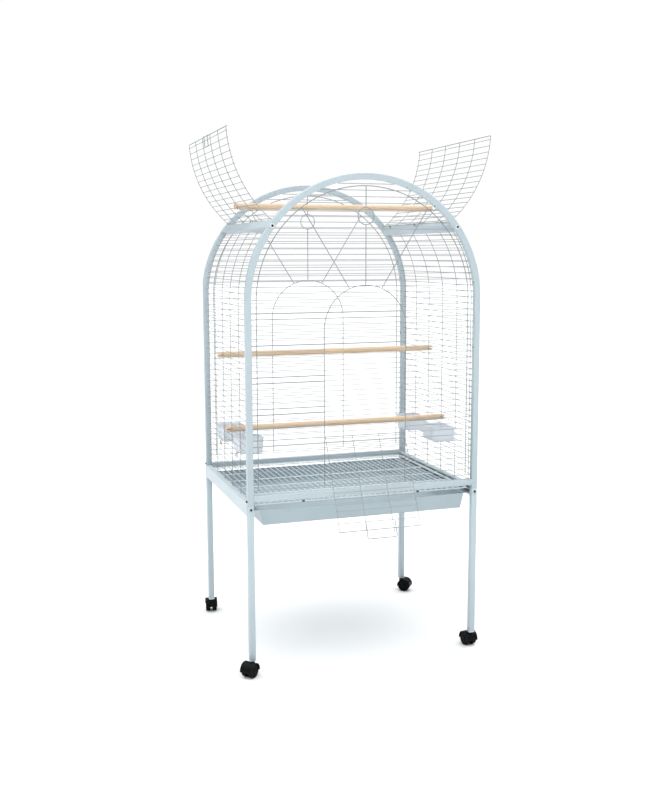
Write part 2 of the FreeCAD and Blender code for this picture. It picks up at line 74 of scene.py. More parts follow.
def linear(colour: str) -> tuple[float, float, float, float]:
    """Turn an sRGB hex colour to linear light.

    Args:
        colour: Six hex digits after a hash.

    Returns:
        Linear red, green and blue, and an alpha of 1.
    """
    parts = [int(colour[n:n + 2], 16) / 255 for n in (1, 3, 5)]
    red, green, blue = (v / 12.92 if v <= 0.04045 else ((v + 0.055) / 1.055) ** 2.4 for v in parts)
    return red, green, blue, 1.0


def add_node(tree: bpy.types.NodeTree, kind: str, inputs: dict[Any, Any] | None = None,
             **settings: Any) -> bpy.types.Node:
    """Add a node with its settings, and its inputs set or linked.

    Args:
        tree: The node tree.
        kind: The node's type name.
        inputs: Input name or number to a value, or to an output socket to link from.
        **settings: Properties of the node itself.

    Returns:
        The new node.
    """
    node = tree.nodes.new(kind)
    for name, value in settings.items():
        setattr(node, name, value)
    for key, value in (inputs or {}).items():
        if isinstance(value, bpy.types.NodeSocket):
            tree.links.new(value, node.inputs[key])
        else:
            node.inputs[key].default_value = value
    return node


class Slot(Enum):
    """Material slots of the record."""

    TUBE = "powder_coated_tube"
    SHEET = "powder_coated_sheet"
    TRAY = "powder_coated_tray"
    WIRE = "powder_coated_wire"
    GRATE = "powder_coated_grate"
    CLIP = "black_spring_steel"
    SCREW = "blackened_steel"
    WASHER = "white_nylon"
    PLUG = "grey_plastic"
    STEEL = "bare_steel"
    DOWEL = "beech_dowel"
    CUP = "clear_cup_plastic"
    HOOD = "black_nylon"
    TREAD = "black_tread"


@dataclass(frozen=True)
class Finish:
    """What every finish has: a name, a colour and a way to make its material."""

    name: str
    colour: str
    roughness: float = 0.45

    def start(self) -> tuple[bpy.types.Material, bpy.types.NodeTree, bpy.types.Node, Any]:
        """Make the material with an empty principled shader.

        Returns:
            The material, its tree, the principled node and the Object coordinate output.
        """
        material = bpy.data.materials.new(self.name)
        material.use_nodes = True
        tree = material.node_tree
        tree.nodes.clear()
        shader = add_node(tree, "ShaderNodeBsdfPrincipled",
                          {"Base Color": linear(self.colour), "Roughness": self.roughness})
        add_node(tree, "ShaderNodeOutputMaterial", {"Surface": shader.outputs[0]})
        place = add_node(tree, "ShaderNodeTexCoord").outputs["Object"]
        return material, tree, shader, place

    def vary(self, tree: bpy.types.NodeTree, shader: bpy.types.Node, place: Any,
             size_mm: float, other: str) -> None:
        """Mottle the colour between the finish's own and another.

        Args:
            tree: The material's tree.
            shader: The principled node.
            place: The coordinate output.
            size_mm: The size of a patch.
            other: The second colour.
        """
        noise = add_node(tree, "ShaderNodeTexNoise",
                         {"Vector": place, "Scale": 1 / (size_mm * MM), "Detail": PATCH_OCTAVES})
        mix = add_node(tree, "ShaderNodeMix", {
            0: noise.outputs["Fac"], 6: linear(self.colour), 7: linear(other)}, data_type="RGBA")
        tree.links.new(mix.outputs[2], shader.inputs["Base Color"])

    def bump(self, tree: bpy.types.NodeTree, shader: bpy.types.Node, height: Any,
             depth_mm: float, strength: float) -> None:
        """Raise the surface by a height field.

        Args:
            tree: The material's tree.
            shader: The principled node.
            height: The output that holds the height.
            depth_mm: The height of the pattern.
            strength: How much of it shows.
        """
        node = add_node(tree, "ShaderNodeBump",
                        {"Height": height, "Distance": depth_mm * MM, "Strength": strength})
        tree.links.new(node.outputs[0], shader.inputs["Normal"])


@dataclass(frozen=True)
class PowderCoat(Finish):
    """Baked polyester powder coat on steel: an even, satin skin with a fine orange peel."""

    shade: str = "#b9c6cd"
    peel_mm: float = 0.9  # real peel is about half this, which would be too fine to show
    patch_mm: float = 70.0
    smudges_per_metre: float = 22.0
    coat: float = 0.12

    def material(self) -> bpy.types.Material:
        """Return the coat, whose peel breaks up its highlights and whose colour drifts a little.

        Returns:
            The material.
        """
        material, tree, shader, place = self.start()
        self.vary(tree, shader, place, self.patch_mm, self.shade)
        shader.inputs["Coat Weight"].default_value = self.coat
        shader.inputs["Coat Roughness"].default_value = 0.3
        peel = add_node(tree, "ShaderNodeTexNoise",
                        {"Vector": place, "Scale": 1 / (self.peel_mm * MM), "Detail": 2.0})
        self.bump(tree, shader, peel.outputs["Fac"], 0.05, 0.25)
        smudge = add_node(tree, "ShaderNodeTexNoise",
                          {"Vector": place, "Scale": self.smudges_per_metre, "Detail": 4.0})
        rough = add_node(tree, "ShaderNodeMapRange", {
            "Value": smudge.outputs["Fac"], "To Min": self.roughness - 0.06, "To Max": self.roughness + 0.08})
        tree.links.new(rough.outputs[0], shader.inputs["Roughness"])
        return material


@dataclass(frozen=True)
class Beech(Finish):
    """Turned beech dowel, sanded and unvarnished: long fine grain with short dark flecks."""

    late: str = "#b3926f"
    fleck: str = "#94714e"
    ring_mm: float = 3.2
    stretch: Point = (0.04, 1.0, 1.0)

    def material(self) -> bpy.types.Material:
        """Return the wood, with rings stretched along X and ray flecks a few millimetres long.

        Returns:
            The material.
        """
        material, tree, shader, place = self.start()
        along = add_node(tree, "ShaderNodeMapping", {"Vector": place, "Scale": self.stretch})
        wander = add_node(tree, "ShaderNodeTexNoise",
                          {"Vector": along.outputs[0], "Scale": 1 / (9.0 * MM), "Detail": 4.0})
        rings = add_node(tree, "ShaderNodeTexWave", {
            "Vector": along.outputs[0], "Scale": 0.31 / (self.ring_mm * MM), "Distortion": 6.0,
            "Detail": 3.0, "Detail Scale": 1.4}, bands_direction="DIAGONAL")
        blend = add_node(tree, "ShaderNodeMath",
                         {0: rings.outputs["Fac"], 1: wander.outputs["Fac"]}, operation="MULTIPLY")
        wood = add_node(tree, "ShaderNodeMix", {
            0: blend.outputs[0], 6: linear(self.colour), 7: linear(self.late)}, data_type="RGBA")
        flecks = add_node(tree, "ShaderNodeTexNoise",
                          {"Vector": along.outputs[0], "Scale": 1 / (0.9 * MM), "Detail": 2.0})
        mask = add_node(tree, "ShaderNodeMapRange",
                        {"Value": flecks.outputs["Fac"], "From Min": 0.6, "From Max": 0.72, "To Max": 0.55})
        both = add_node(tree, "ShaderNodeMix", {
            0: mask.outputs[0], 6: wood.outputs[2], 7: linear(self.fleck)}, data_type="RGBA")
        tree.links.new(both.outputs[2], shader.inputs["Base Color"])
        self.bump(tree, shader, flecks.outputs["Fac"], 0.12, 0.35)
        return material


@dataclass(frozen=True)
class Moulded(Finish):
    """Injection-moulded plastic with a fine spark-eroded texture from its mould."""

    shade: str = "#202124"
    grit_mm: float = 0.45  # real grit is finer, but would not show
    patch_mm: float = 14.0
    shine: float = 0.5

    def material(self) -> bpy.types.Material:
        """Return the plastic, whose grit keeps its highlights soft.

        Returns:
            The material.
        """
        material, tree, shader, place = self.start()
        self.vary(tree, shader, place, self.patch_mm, self.shade)
        shader.inputs["Specular IOR Level"].default_value = self.shine
        grit = add_node(tree, "ShaderNodeTexVoronoi", {"Vector": place, "Scale": 1 / (self.grit_mm * MM)})
        self.bump(tree, shader, grit.outputs["Distance"], 0.03, 0.3)
        return material


@dataclass(frozen=True)
class ClearCup(Finish):
    """Translucent polypropylene: thin, cloudy and cool, with faint flow lines."""

    shade: str = "#e6edf5"
    patch_mm: float = 25.0
    flow_mm: float = 6.0

    def material(self) -> bpy.types.Material:
        """Return the plastic, which lets soft light through and blurs what is behind it.

        Returns:
            The material.
        """
        material, tree, shader, place = self.start()
        self.vary(tree, shader, place, self.patch_mm, self.shade)
        shader.inputs["IOR"].default_value = 1.49
        shader.inputs["Transmission Weight"].default_value = 0.3
        shader.inputs["Subsurface Weight"].default_value = 0.25
        shader.inputs["Subsurface Radius"].default_value = (0.004, 0.0045, 0.005)
        shader.inputs["Subsurface Scale"].default_value = 1.0
        flow = add_node(tree, "ShaderNodeTexNoise",
                        {"Vector": place, "Scale": 1 / (self.flow_mm * MM), "Detail": 3.0, "Distortion": 0.6})
        self.bump(tree, shader, flow.outputs["Fac"], 0.15, 0.2)
        return material


@dataclass(frozen=True)
class Metal(Finish):
    """Turned or drawn steel, zinc plated or blackened, with fine tool lines."""

    line_mm: float = 0.35  # real tool lines are finer, but would not show

    def material(self) -> bpy.types.Material:
        """Return the metal, whose lines stretch its highlights.

        Returns:
            The material.
        """
        material, tree, shader, place = self.start()
        shader.inputs["Metallic"].default_value = 1.0
        lines = add_node(tree, "ShaderNodeTexNoise",
                         {"Vector": place, "Scale": 1 / (self.line_mm * MM), "Detail": 2.0})
        rough = add_node(tree, "ShaderNodeMapRange", {
            "Value": lines.outputs["Fac"], "To Min": self.roughness - 0.08, "To Max": self.roughness + 0.1})
        tree.links.new(rough.outputs[0], shader.inputs["Roughness"])
        self.bump(tree, shader, lines.outputs["Fac"], 0.02, 0.2)
        return material


@dataclass(frozen=True)
class Plain(Finish):
    """A plain studio surface, for what isn't part of the object."""

    def material(self) -> bpy.types.Material:
        """Return the surface."""
        return self.start()[0]


FINISHES: dict[Slot, Any] = {
    # Satin and even, with soft highlights along the rolled corners.
    Slot.TUBE: PowderCoat("powder_coat_on_tube", "#b5c3c9", 0.42, shade="#adbcc3"),
    # The same coat on flat sheet, a shade paler, with broad soft reflections.
    Slot.SHEET: PowderCoat("powder_coat_on_folded_sheet", "#bfccd2", 0.42, shade="#b6c4cb"),
    # Painted shade: a shade deeper than the tube's coat, standing in for the shadow that the tray lies in, so that
    # the flat front reads as one calm band.
    Slot.TRAY: PowderCoat("powder_coat_on_tray_painted_shade", "#a5b5bc", 0.4, shade="#9dacb4"),
    # Painted shade: the near-white coat is darkened to a cool mid grey, standing in for the shade on thin wire,
    # which catches little light.
    Slot.WIRE: PowderCoat("powder_coat_on_wire_painted_shade", "#949b9f", 0.45, shade="#8b9296", peel_mm=0.6),
    # Nearly white, so that the close wires stand out over the tray.
    Slot.GRATE: PowderCoat("powder_coat_on_grate", "#eef5f8", 0.45, shade="#e6eff3", peel_mm=0.6),
    # Oiled spring steel gives a small grey glint.
    Slot.CLIP: Metal("black_spring_steel", "#4a4d50", 0.45),
    # Dark, with a narrow highlight round the head.
    Slot.SCREW: Metal("blackened_screw_steel", "#232427", 0.4),
    # A dull white disc behind each dark screw.
    Slot.WASHER: Moulded("white_nylon_washer", "#e9ecee", 0.5, shade="#dfe3e6"),
    # Dull and pale, close to the tube's own colour.
    Slot.PLUG: Moulded("pale_grey_plug", "#cfd8dd", 0.5, shade="#c2ccd2"),
    # Bright zinc plate, with fine lines that stretch its highlights.
    Slot.STEEL: Metal("zinc_plated_steel", "#a9aeb3", 0.33),
    # Warm and dull, with long fine grain and short dark flecks.
    Slot.DOWEL: Beech("sanded_beech", "#d8c2a8", 0.62),
    # Cloudy and cool, with soft light through its thin walls.
    Slot.CUP: ClearCup("cloudy_polypropylene", "#eff4fa", 0.28),
    # Near black and dull, so that only the edges of the hood show.
    Slot.HOOD: Moulded("black_moulded_nylon", "#08090a", 0.42, shade="#0e0f11", shine=0.08),
    # As the hood, with a coarser grit where the wheel rolls.
    Slot.TREAD: Moulded("black_moulded_tread", "#070708", 0.55, shade="#0c0d0e", grit_mm=0.7, shine=0.08),
}


@dataclass
class Paints:
    """The materials, made once each when first asked for."""

    made: dict[Slot, bpy.types.Material] = field(default_factory=dict)

    def get(self, slot: Slot) -> bpy.types.Material:
        """Return the material of a slot.

        Args:
            slot: The slot.

        Returns:
            Its material.
        """
        if slot not in self.made:
            self.made[slot] = FINISHES[slot].material()
        return self.made[slot]


PAINTS = Paints()


# ---------------------------------------------------------------- meshes


def ring_mesh(rings: Sequence[Ring], closed_ends: bool = True, loop: bool = False) -> bpy.types.Mesh:
    """Skin a row of rings that have the same number of points.

    Args:
        rings: The rings, in order. Seen along the row, each turns anticlockwise about it.
        closed_ends: Whether the first and last rings get a face.
        loop: Whether the last ring joins the first.

    Returns:
        The mesh.
    """
    count = len(rings[0])
    points = [tuple(p) for ring in rings for p in ring]
    faces: list[tuple[int, ...]] = []
    spans = len(rings) if loop else len(rings) - 1
    for r in range(spans):
        low, high = r * count, (r + 1) % len(rings) * count
        for n in range(count):
            m = (n + 1) % count
            faces.append((low + n, low + m, high + m, high + n))
    if closed_ends and not loop:
        faces.append(tuple(reversed(range(count))))
        faces.append(tuple(range(len(points) - count, len(points))))
    mesh = bpy.data.meshes.new("skin")
    mesh.from_pydata(points, [], faces)
    mesh.validate()
    return mesh


def rounded_outline(half_u: float, half_v: float, corner: float, steps: int = 4) -> list[tuple[float, float]]:
    """Return a rectangle's outline with round corners, anticlockwise.

    Args:
        half_u: Half its size along u.
        half_v: Half its size along v.
        corner: The corners' radius.
        steps: The points in each corner, less one.

    Returns:
        The (u, v) points.
    """
    outline = []
    for quarter, (su, sv) in enumerate(((1, 1), (-1, 1), (-1, -1), (1, -1))):
        for n in range(steps + 1):
            angle = math.radians(90 * (quarter + n / steps))
            outline.append((su * (half_u - corner) + corner * math.cos(angle),
                            sv * (half_v - corner) + corner * math.sin(angle)))
    return outline


def swept_bar(stations: Iterable[tuple[Vector, Vector, Vector]], half_u: float, half_v: float,
              corner: float, edge: float = 0.0005) -> bpy.types.Mesh:
    """Sweep a rounded rectangle through stations, with a small chamfer at both ends.

    Args:
        stations: Middle, u axis and v axis at each station, where u cross v points onwards.
        half_u: Half the section along u.
        half_v: Half the section along v.
        corner: The section's corner radius.
        edge: The end chamfer.

    Returns:
        The mesh.
    """
    places = list(stations)
    onward = places[0][1].cross(places[0][2])
    last = places[-1][1].cross(places[-1][2])
    rings = []
    small = [(u * (1 - edge / half_u), v * (1 - edge / half_v))
             for u, v in rounded_outline(half_u, half_v, corner)]
    full = rounded_outline(half_u, half_v, corner)
    middle, u_axis, v_axis = places[0]
    rings.append([middle + u_axis * u + v_axis * v for u, v in small])
    rings.append([middle + onward * edge + u_axis * u + v_axis * v for u, v in full])
    for middle, u_axis, v_axis in places[1:-1]:
        rings.append([middle + u_axis * u + v_axis * v for u, v in full])
    middle, u_axis, v_axis = places[-1]
    rings.append([middle - last * edge + u_axis * u + v_axis * v for u, v in full])
    rings.append([middle + u_axis * u + v_axis * v for u, v in small])
    return ring_mesh(rings)


def straight_bar(start: Vector, end: Vector, u_axis: Vector, half_u: float, half_v: float,
                 corner: float) -> bpy.types.Mesh:
    """Return a straight bar of rounded section from start to end."""
    v_axis = (end - start).normalized().cross(u_axis)
    return swept_bar([(start, u_axis, v_axis), (end, u_axis, v_axis)], half_u, half_v, corner)


def turned(profile: Sequence[tuple[float, float]], base: Vector, axis: Vector,
           steps: int = 32) -> bpy.types.Mesh:
    """Turn a profile about an axis.

    Args:
        profile: (radius, distance along the axis) from one end to the other, with a radius
            of 0 at neither end.
        base: A point on the axis.
        axis: The axis's direction.
        steps: The number of sides.

    Returns:
        The mesh.
    """
    side = axis.orthogonal().normalized()
    other = axis.normalized().cross(side)
    rings = []
    for radius, along in profile:
        ring = []
        for n in range(steps):
            angle = 2 * math.pi * n / steps
            ring.append(base + axis * along + (side * math.cos(angle) + other * math.sin(angle)) * radius)
        rings.append(ring)
    return ring_mesh(rings)


def folded_strip(line: Sequence[tuple[float, float]], thickness: float, lo: float, hi: float,
                 side: int) -> bpy.types.Mesh:
    """Fold a strip of sheet that runs along Y.

    Args:
        line: The middle line's (x, z) points on the right side of the cage.
        thickness: The sheet's thickness.
        lo: Its front end.
        hi: Its rear end.
        side: -1 for the left side of the cage, 1 for the right.

    Returns:
        The mesh.
    """
    points = [Vector((x, z)) for x, z in line]
    normals = []
    for n in range(len(points)):
        before = points[max(n - 1, 0)]
        after = points[min(n + 1, len(points) - 1)]
        along = (after - before).normalized()
        normals.append(Vector((-along.y, along.x)))
    outline = [p + m * thickness / 2 for p, m in zip(points, normals)]
    outline += [p - m * thickness / 2 for p, m in reversed(list(zip(points, normals)))]
    rings = [[Vector((side * p.x, y, p.y)) for p in outline] for y in (lo, hi)]
    mesh = ring_mesh(rings)
    return facing_out(mesh)


def facing_out(mesh: bpy.types.Mesh) -> bpy.types.Mesh:
    """Turn a closed mesh's faces outwards.

    Args:
        mesh: The mesh, which is changed.

    Returns:
        The same mesh.
    """
    work = bmesh.new()
    work.from_mesh(mesh)
    bmesh.ops.recalc_face_normals(work, faces=work.faces)
    work.to_mesh(mesh)
    work.free()
    return mesh


def mirrored(mesh: bpy.types.Mesh) -> bpy.types.Mesh:
    """Return the mesh on the other side of the cage, with its faces still outwards.

    Args:
        mesh: The mesh, which is left as it is.

    Returns:
        A mirrored copy.
    """
    other = mesh.copy()
    other.transform(Matrix.Diagonal((-1, 1, 1, 1)))
    other.flip_normals()
    return other


@dataclass
class Pile:
    """Meshes of one finish that become one piece."""

    name: str
    slot: Slot
    body: str
    stands_for: tuple[str, ...]
    meshes: list[bpy.types.Mesh] = field(default_factory=list)
    smooth_angle: float = 40.0

    def add(self, *meshes: bpy.types.Mesh) -> "Pile":
        """Put meshes on the pile and return it."""
        self.meshes.extend(meshes)
        return self

    def finish(self) -> bpy.types.Object:
        """Join the pile, give it its finish and tie it to its body.

        Returns:
            The finished piece.
        """
        points: list[Point] = []
        faces: list[tuple[int, ...]] = []
        for mesh in self.meshes:
            first = len(points)
            points.extend(tuple(v.co) for v in mesh.vertices)
            faces.extend(tuple(first + v for v in face.vertices) for face in mesh.polygons)
            bpy.data.meshes.remove(mesh)
        whole = bpy.data.meshes.new(self.name)
        whole.from_pydata(points, [], faces)
        whole.materials.append(PAINTS.get(self.slot))
        whole.shade_smooth()
        whole.set_sharp_from_angle(angle=math.radians(self.smooth_angle))
        piece = bpy.data.objects.new(self.name, whole)
        bpy.context.scene.collection.objects.link(piece)
        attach(piece, self.body)
        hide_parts(*self.stands_for)
        LOG.info("%s: %d faces on %s", self.name, len(faces), self.body)
        return piece


# ---------------------------------------------------------------- geometry-node wirework


def new_tree(name: str, sockets: Sequence[tuple[str, str]], takes_mesh: bool) -> tuple[Any, Any]:
    """Start a geometry tree with named inputs.

    Args:
        name: The tree's name.
        sockets: (name, socket type) of each input.
        takes_mesh: Whether it also takes the object's own mesh.

    Returns:
        The tree and its input node.
    """
    tree = bpy.data.node_groups.new(name, "GeometryNodeTree")
    if takes_mesh:
        tree.interface.new_socket("Geometry", in_out="INPUT", socket_type="NodeSocketGeometry")
    for label, kind in sockets:
        tree.interface.new_socket(label, in_out="INPUT", socket_type=kind)
    tree.interface.new_socket("Geometry", in_out="OUTPUT", socket_type="NodeSocketGeometry")
    return tree, add_node(tree, "NodeGroupInput")


def end_tree(tree: Any, geometry: Any, material: Any) -> None:
    """End a tree in Realize Instances and Set Material.

    Args:
        tree: The tree.
        geometry: The output that it ends in.
        material: The output that holds the material.
    """
    real = add_node(tree, "GeometryNodeRealizeInstances", {0: geometry})
    dressed = add_node(tree, "GeometryNodeSetMaterial",
                       {"Geometry": real.outputs[0], "Material": material})
    add_node(tree, "NodeGroupOutput", {0: dressed.outputs[0]})


def sum_of(tree: Any, operation: str, *terms: Any) -> Any:
    """Return the output of one maths node over the terms."""
    node = add_node(tree, "ShaderNodeMath", dict(enumerate(terms)), operation=operation)
    return node.outputs[0]


def round_wires(tree: Any, lines: Any, radius: Any, sides: int) -> Any:
    """Give curves a round section and closed ends.

    Args:
        tree: The tree.
        lines: The curves' output.
        radius: The wire radius's output.
        sides: The number of sides.

    Returns:
        The mesh output.
    """
    section = add_node(tree, "GeometryNodeCurvePrimitiveCircle",
                       {"Resolution": sides, "Radius": radius})
    real = add_node(tree, "GeometryNodeRealizeInstances", {0: lines})
    even = add_node(tree, "GeometryNodeSetCurveRadius", {"Curve": real.outputs[0], "Radius": 1.0})
    return add_node(tree, "GeometryNodeCurveToMesh", {
        "Curve": even.outputs[0], "Profile Curve": section.outputs[0], "Fill Caps": True}).outputs[0]


def start_rows(name: str, names: Sequence[str]) -> tuple[Any, Any, Any]:
    """Start a tree that makes a number of rows.

    Args:
        name: The tree's name.
        names: The names of its sizes.

    Returns:
        The tree, its inputs and each row's number.
    """
    sockets = [("Rows", "NodeSocketInt"), *[(n, "NodeSocketFloat") for n in names]]
    tree, given = new_tree(name, [*sockets, ("Material", "NodeSocketMaterial")], False)
    return tree, given.outputs, add_node(tree, "GeometryNodeInputIndex").outputs[0]


def rows_round_a_hoop() -> Any:
    """Rows along Y that climb a straight side and then follow its round top.

    Returns:
        The geometry tree.
    """
    names = ["First", "Pitch", "Straight", "Bend", "Foot", "Half length", "Wire radius"]
    tree, out, index = start_rows("rows_round_a_hoop", names)
    climbed = sum_of(tree, "MULTIPLY_ADD", index, out["Pitch"], out["First"])
    past = sum_of(tree, "MAXIMUM", sum_of(tree, "SUBTRACT", climbed, out["Straight"]), 0.0)
    angle = sum_of(tree, "DIVIDE", past, out["Bend"])
    x = sum_of(tree, "MULTIPLY", out["Bend"], sum_of(tree, "COSINE", angle))
    rise = sum_of(tree, "MULTIPLY", out["Bend"], sum_of(tree, "SINE", angle))
    wall = sum_of(tree, "ADD", out["Foot"], sum_of(tree, "MINIMUM", climbed, out["Straight"]))
    place = add_node(tree, "ShaderNodeCombineXYZ", {"X": x, "Z": sum_of(tree, "ADD", wall, rise)})
    points = add_node(tree, "GeometryNodePoints", {"Count": out["Rows"], "Position": place.outputs[0]})
    far = add_node(tree, "ShaderNodeCombineXYZ", {"Y": out["Half length"]})
    near = add_node(tree, "ShaderNodeCombineXYZ",
                    {"Y": sum_of(tree, "MULTIPLY", out["Half length"], -1.0)})
    line = add_node(tree, "GeometryNodeCurvePrimitiveLine",
                    {"Start": near.outputs[0], "End": far.outputs[0]})
    rows = add_node(tree, "GeometryNodeInstanceOnPoints",
                    {"Points": points.outputs[0], "Instance": line.outputs[0]})
    end_tree(tree, round_wires(tree, rows.outputs[0], out["Wire radius"], 10), out["Material"])
    return tree


def rows_across_an_arch() -> Any:
    """Rows along X, one above another, whose length follows a round-topped opening.

    Returns:
        The geometry tree.
    """
    names = ["Middle", "Plane", "First", "Pitch", "Half width", "Spring", "Wire radius"]
    tree, out, index = start_rows("rows_across_an_arch", names)
    height = sum_of(tree, "MULTIPLY_ADD", index, out["Pitch"], out["First"])
    top = sum_of(tree, "ADD", height, out["Wire radius"])
    over = sum_of(tree, "MAXIMUM", sum_of(tree, "SUBTRACT", top, out["Spring"]), 0.0)
    square = sum_of(tree, "MULTIPLY", out["Half width"], out["Half width"])
    reach = sum_of(tree, "SQRT", sum_of(tree, "SUBTRACT", square, sum_of(tree, "MULTIPLY", over, over)))
    place = add_node(tree, "ShaderNodeCombineXYZ", {"X": out["Middle"], "Y": out["Plane"], "Z": height})
    points = add_node(tree, "GeometryNodePoints", {"Count": out["Rows"], "Position": place.outputs[0]})
    line = add_node(tree, "GeometryNodeCurvePrimitiveLine", {"Start": (-1, 0, 0), "End": (1, 0, 0)})
    size = add_node(tree, "ShaderNodeCombineXYZ", {"X": reach, "Y": 1.0, "Z": 1.0})
    rows = add_node(tree, "GeometryNodeInstanceOnPoints", {
        "Points": points.outputs[0], "Instance": line.outputs[0], "Scale": size.outputs[0]})
    end_tree(tree, round_wires(tree, rows.outputs[0], out["Wire radius"], 10), out["Material"])
    return tree


def wires_on_paths() -> Any:
    """Round wires along the object's own edges, with each corner bent to a radius.

    Returns:
        The geometry tree.
    """
    sockets = [("Wire radius", "NodeSocketFloat"), ("Bend", "NodeSocketFloat"),
               ("Material", "NodeSocketMaterial")]
    tree, given = new_tree("wires_on_paths", sockets, True)
    lines = add_node(tree, "GeometryNodeMeshToCurve", {0: given.outputs["Geometry"]})
    bent = add_node(tree, "GeometryNodeFilletCurve", {"Curve": lines.outputs[0], "Count": 6,
                    "Radius": given.outputs["Bend"], "Limit Radius": True}, mode="POLY")
    end_tree(tree, round_wires(tree, bent.outputs[0], given.outputs["Wire radius"], 12),
             given.outputs["Material"])
    return tree


def beads_on_points() -> Any:
    """A small bead of weld at every point of the object's own mesh.

    Returns:
        The geometry tree.
    """
    sockets = [("Bead radius", "NodeSocketFloat"), ("Material", "NodeSocketMaterial")]
    tree, given = new_tree("beads_on_points", sockets, True)
    bead = add_node(tree, "GeometryNodeMeshIcoSphere",
                    {"Radius": given.outputs["Bead radius"], "Subdivisions": 2})
    beads = add_node(tree, "GeometryNodeInstanceOnPoints",
                     {"Points": given.outputs["Geometry"], "Instance": bead.outputs[0]})
    end_tree(tree, beads.outputs[0], given.outputs["Material"])
    return tree


def pieces_on_seats() -> Any:
    """A copy of another object at every point, turned so that its Z follows the point's facing.

    Returns:
        The geometry tree.
    """
    sockets = [("Piece", "NodeSocketObject"), ("Material", "NodeSocketMaterial")]
    tree, given = new_tree("pieces_on_seats", sockets, True)
    piece = add_node(tree, "GeometryNodeObjectInfo", {"Object": given.outputs["Piece"]})
    facing = add_node(tree, "GeometryNodeInputNamedAttribute", {"Name": "facing"},
                      data_type="FLOAT_VECTOR")
    turn = add_node(tree, "FunctionNodeAlignRotationToVector", {"Vector": facing.outputs[0]}, axis="Z")
    copies = add_node(tree, "GeometryNodeInstanceOnPoints", {
        "Points": given.outputs["Geometry"], "Instance": piece.outputs["Geometry"],
        "Rotation": turn.outputs[0]})
    end_tree(tree, copies.outputs[0], given.outputs["Material"])
    return tree


@dataclass
class Grower:
    """Runs geometry trees and returns plain meshes. Each tree is made when first used."""

    trees: dict[str, Any] = field(default_factory=dict)

    def grow(self, maker: Callable[[], Any], inputs: dict[str, Any],
             base: bpy.types.Mesh | None = None) -> bpy.types.Mesh:
        """Run a tree once.

        Args:
            maker: The function that makes the tree.
            inputs: The tree's named inputs.
            base: The mesh that the tree works from, if it takes one.

        Returns:
            The result as a plain mesh.
        """
        if maker.__name__ not in self.trees:
            self.trees[maker.__name__] = maker()
        tree = self.trees[maker.__name__]
        holder = bpy.data.objects.new("holder", base or bpy.data.meshes.new("holder"))
        bpy.context.scene.collection.objects.link(holder)
        modifier = holder.modifiers.new("grow", "NODES")
        modifier.node_group = tree
        ids = {item.name: item.identifier for item in tree.interface.items_tree
               if item.in_out == "INPUT"}
        for label, value in inputs.items():
            modifier[ids[label]] = value
        holder.update_tag()
        bpy.context.view_layer.update()
        evaluated = holder.evaluated_get(bpy.context.evaluated_depsgraph_get())
        mesh = bpy.data.meshes.new_from_object(evaluated)
        bpy.data.objects.remove(holder)
        return mesh


GROWER = Grower()


def path_mesh(paths: Iterable[Sequence[Any]]) -> bpy.types.Mesh:
    """Return a mesh whose edges are the paths.

    Args:
        paths: Each path's points, in order.

    Returns:
        The mesh.
    """
    points: list[Any] = []
    edges: list[tuple[int, int]] = []
    for path in paths:
        first = len(points)
        points.extend(tuple(p) for p in path)
        edges.extend((first + n, first + n + 1) for n in range(len(path) - 1))
    mesh = bpy.data.meshes.new("paths")
    mesh.from_pydata(points, edges, [])
    return mesh


def arc(y: float, centre: tuple[float, float], bend: float, start: float, end: float,
        steps: int = 24) -> list[Vector]:
    """Return points along an arc in a plane across Y, from start to end in radians above +X."""
    angles = [start + (end - start) * n / steps for n in range(steps + 1)]
    return [Vector((centre[0] + bend * math.cos(a), y, centre[1] + bend * math.sin(a))) for a in angles]


@dataclass
class Wirework:
    """Sizes that every welded panel shares, and how its wires and welds are made."""

    wire: float = 1.1 * MM
    frame_wire: float = 1.5 * MM
    pitch: float = 20 * MM
    bead: float = 1.25 * MM
    eye_wire: float = 0.36 * MM

    def wires(self, paths: Iterable[Sequence[Any]], radius: float, slot: Slot = Slot.WIRE,
              bend: float = 0.0) -> bpy.types.Mesh:
        """Return round wires along the paths."""
        inputs = {"Wire radius": radius, "Bend": bend, "Material": PAINTS.get(slot)}
        return GROWER.grow(wires_on_paths, inputs, path_mesh(paths))

    def hook(self, centre: Vector, radius: float, across: Vector) -> bpy.types.Mesh:
        """Return an upright's hooked end, bent round the wire that it turns on.

        Args:
            centre: A point on the wire that it turns on.
            radius: The radius of the hook's middle line.
            across: The level direction across that wire.

        Returns:
            The mesh.
        """
        angles = [math.radians(20 * n) for n in range(-8, 10)]
        loop = [centre + (across * math.cos(a) + Z_AXIS * math.sin(a)) * radius for a in angles]
        return self.wires([loop], self.eye_wire)

    def beads(self, places: Iterable[Any], slot: Slot = Slot.WIRE) -> bpy.types.Mesh:
        """Return a bead of weld at each place.

        Args:
            places: Where the welds are.
            slot: Their finish.

        Returns:
            The mesh.
        """
        points = bpy.data.meshes.new("welds")
        points.from_pydata([tuple(p) for p in places], [], [])
        return GROWER.grow(beads_on_points, {"Bead radius": self.bead, "Material": PAINTS.get(slot)}, points)


WORK = Wirework()


# ---------------------------------------------------------------- the cage's own measures


@dataclass
class CageMeasures:
    """The measures that the frame's boxes give, shared by the sub-assemblies."""

    tube: float = 20 * MM
    crossbar_angle: float = 37.0
    half_width: float = 0.0
    half_depth: float = 0.0
    spring: float = 0.0
    joint: float = 0.0

    def __post_init__(self) -> None:
        """Read the front hoop's box."""
        low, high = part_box("hoop_front")
        self.half_width = round(high.x, 5)
        self.half_depth = round(-low.y, 5)
        self.spring = round(high.z - high.x, 5)
        self.joint = round(low.z, 5)

    @property
    def crown(self) -> float:
        """The radius of the hoop's middle line."""
        return self.half_width - self.tube / 2

    @property
    def inner_x(self) -> float:
        """Half the width between the posts."""
        return self.half_width - self.tube

    @property
    def inner_y(self) -> float:
        """Half the depth between the hoops."""
        return self.half_depth - self.tube


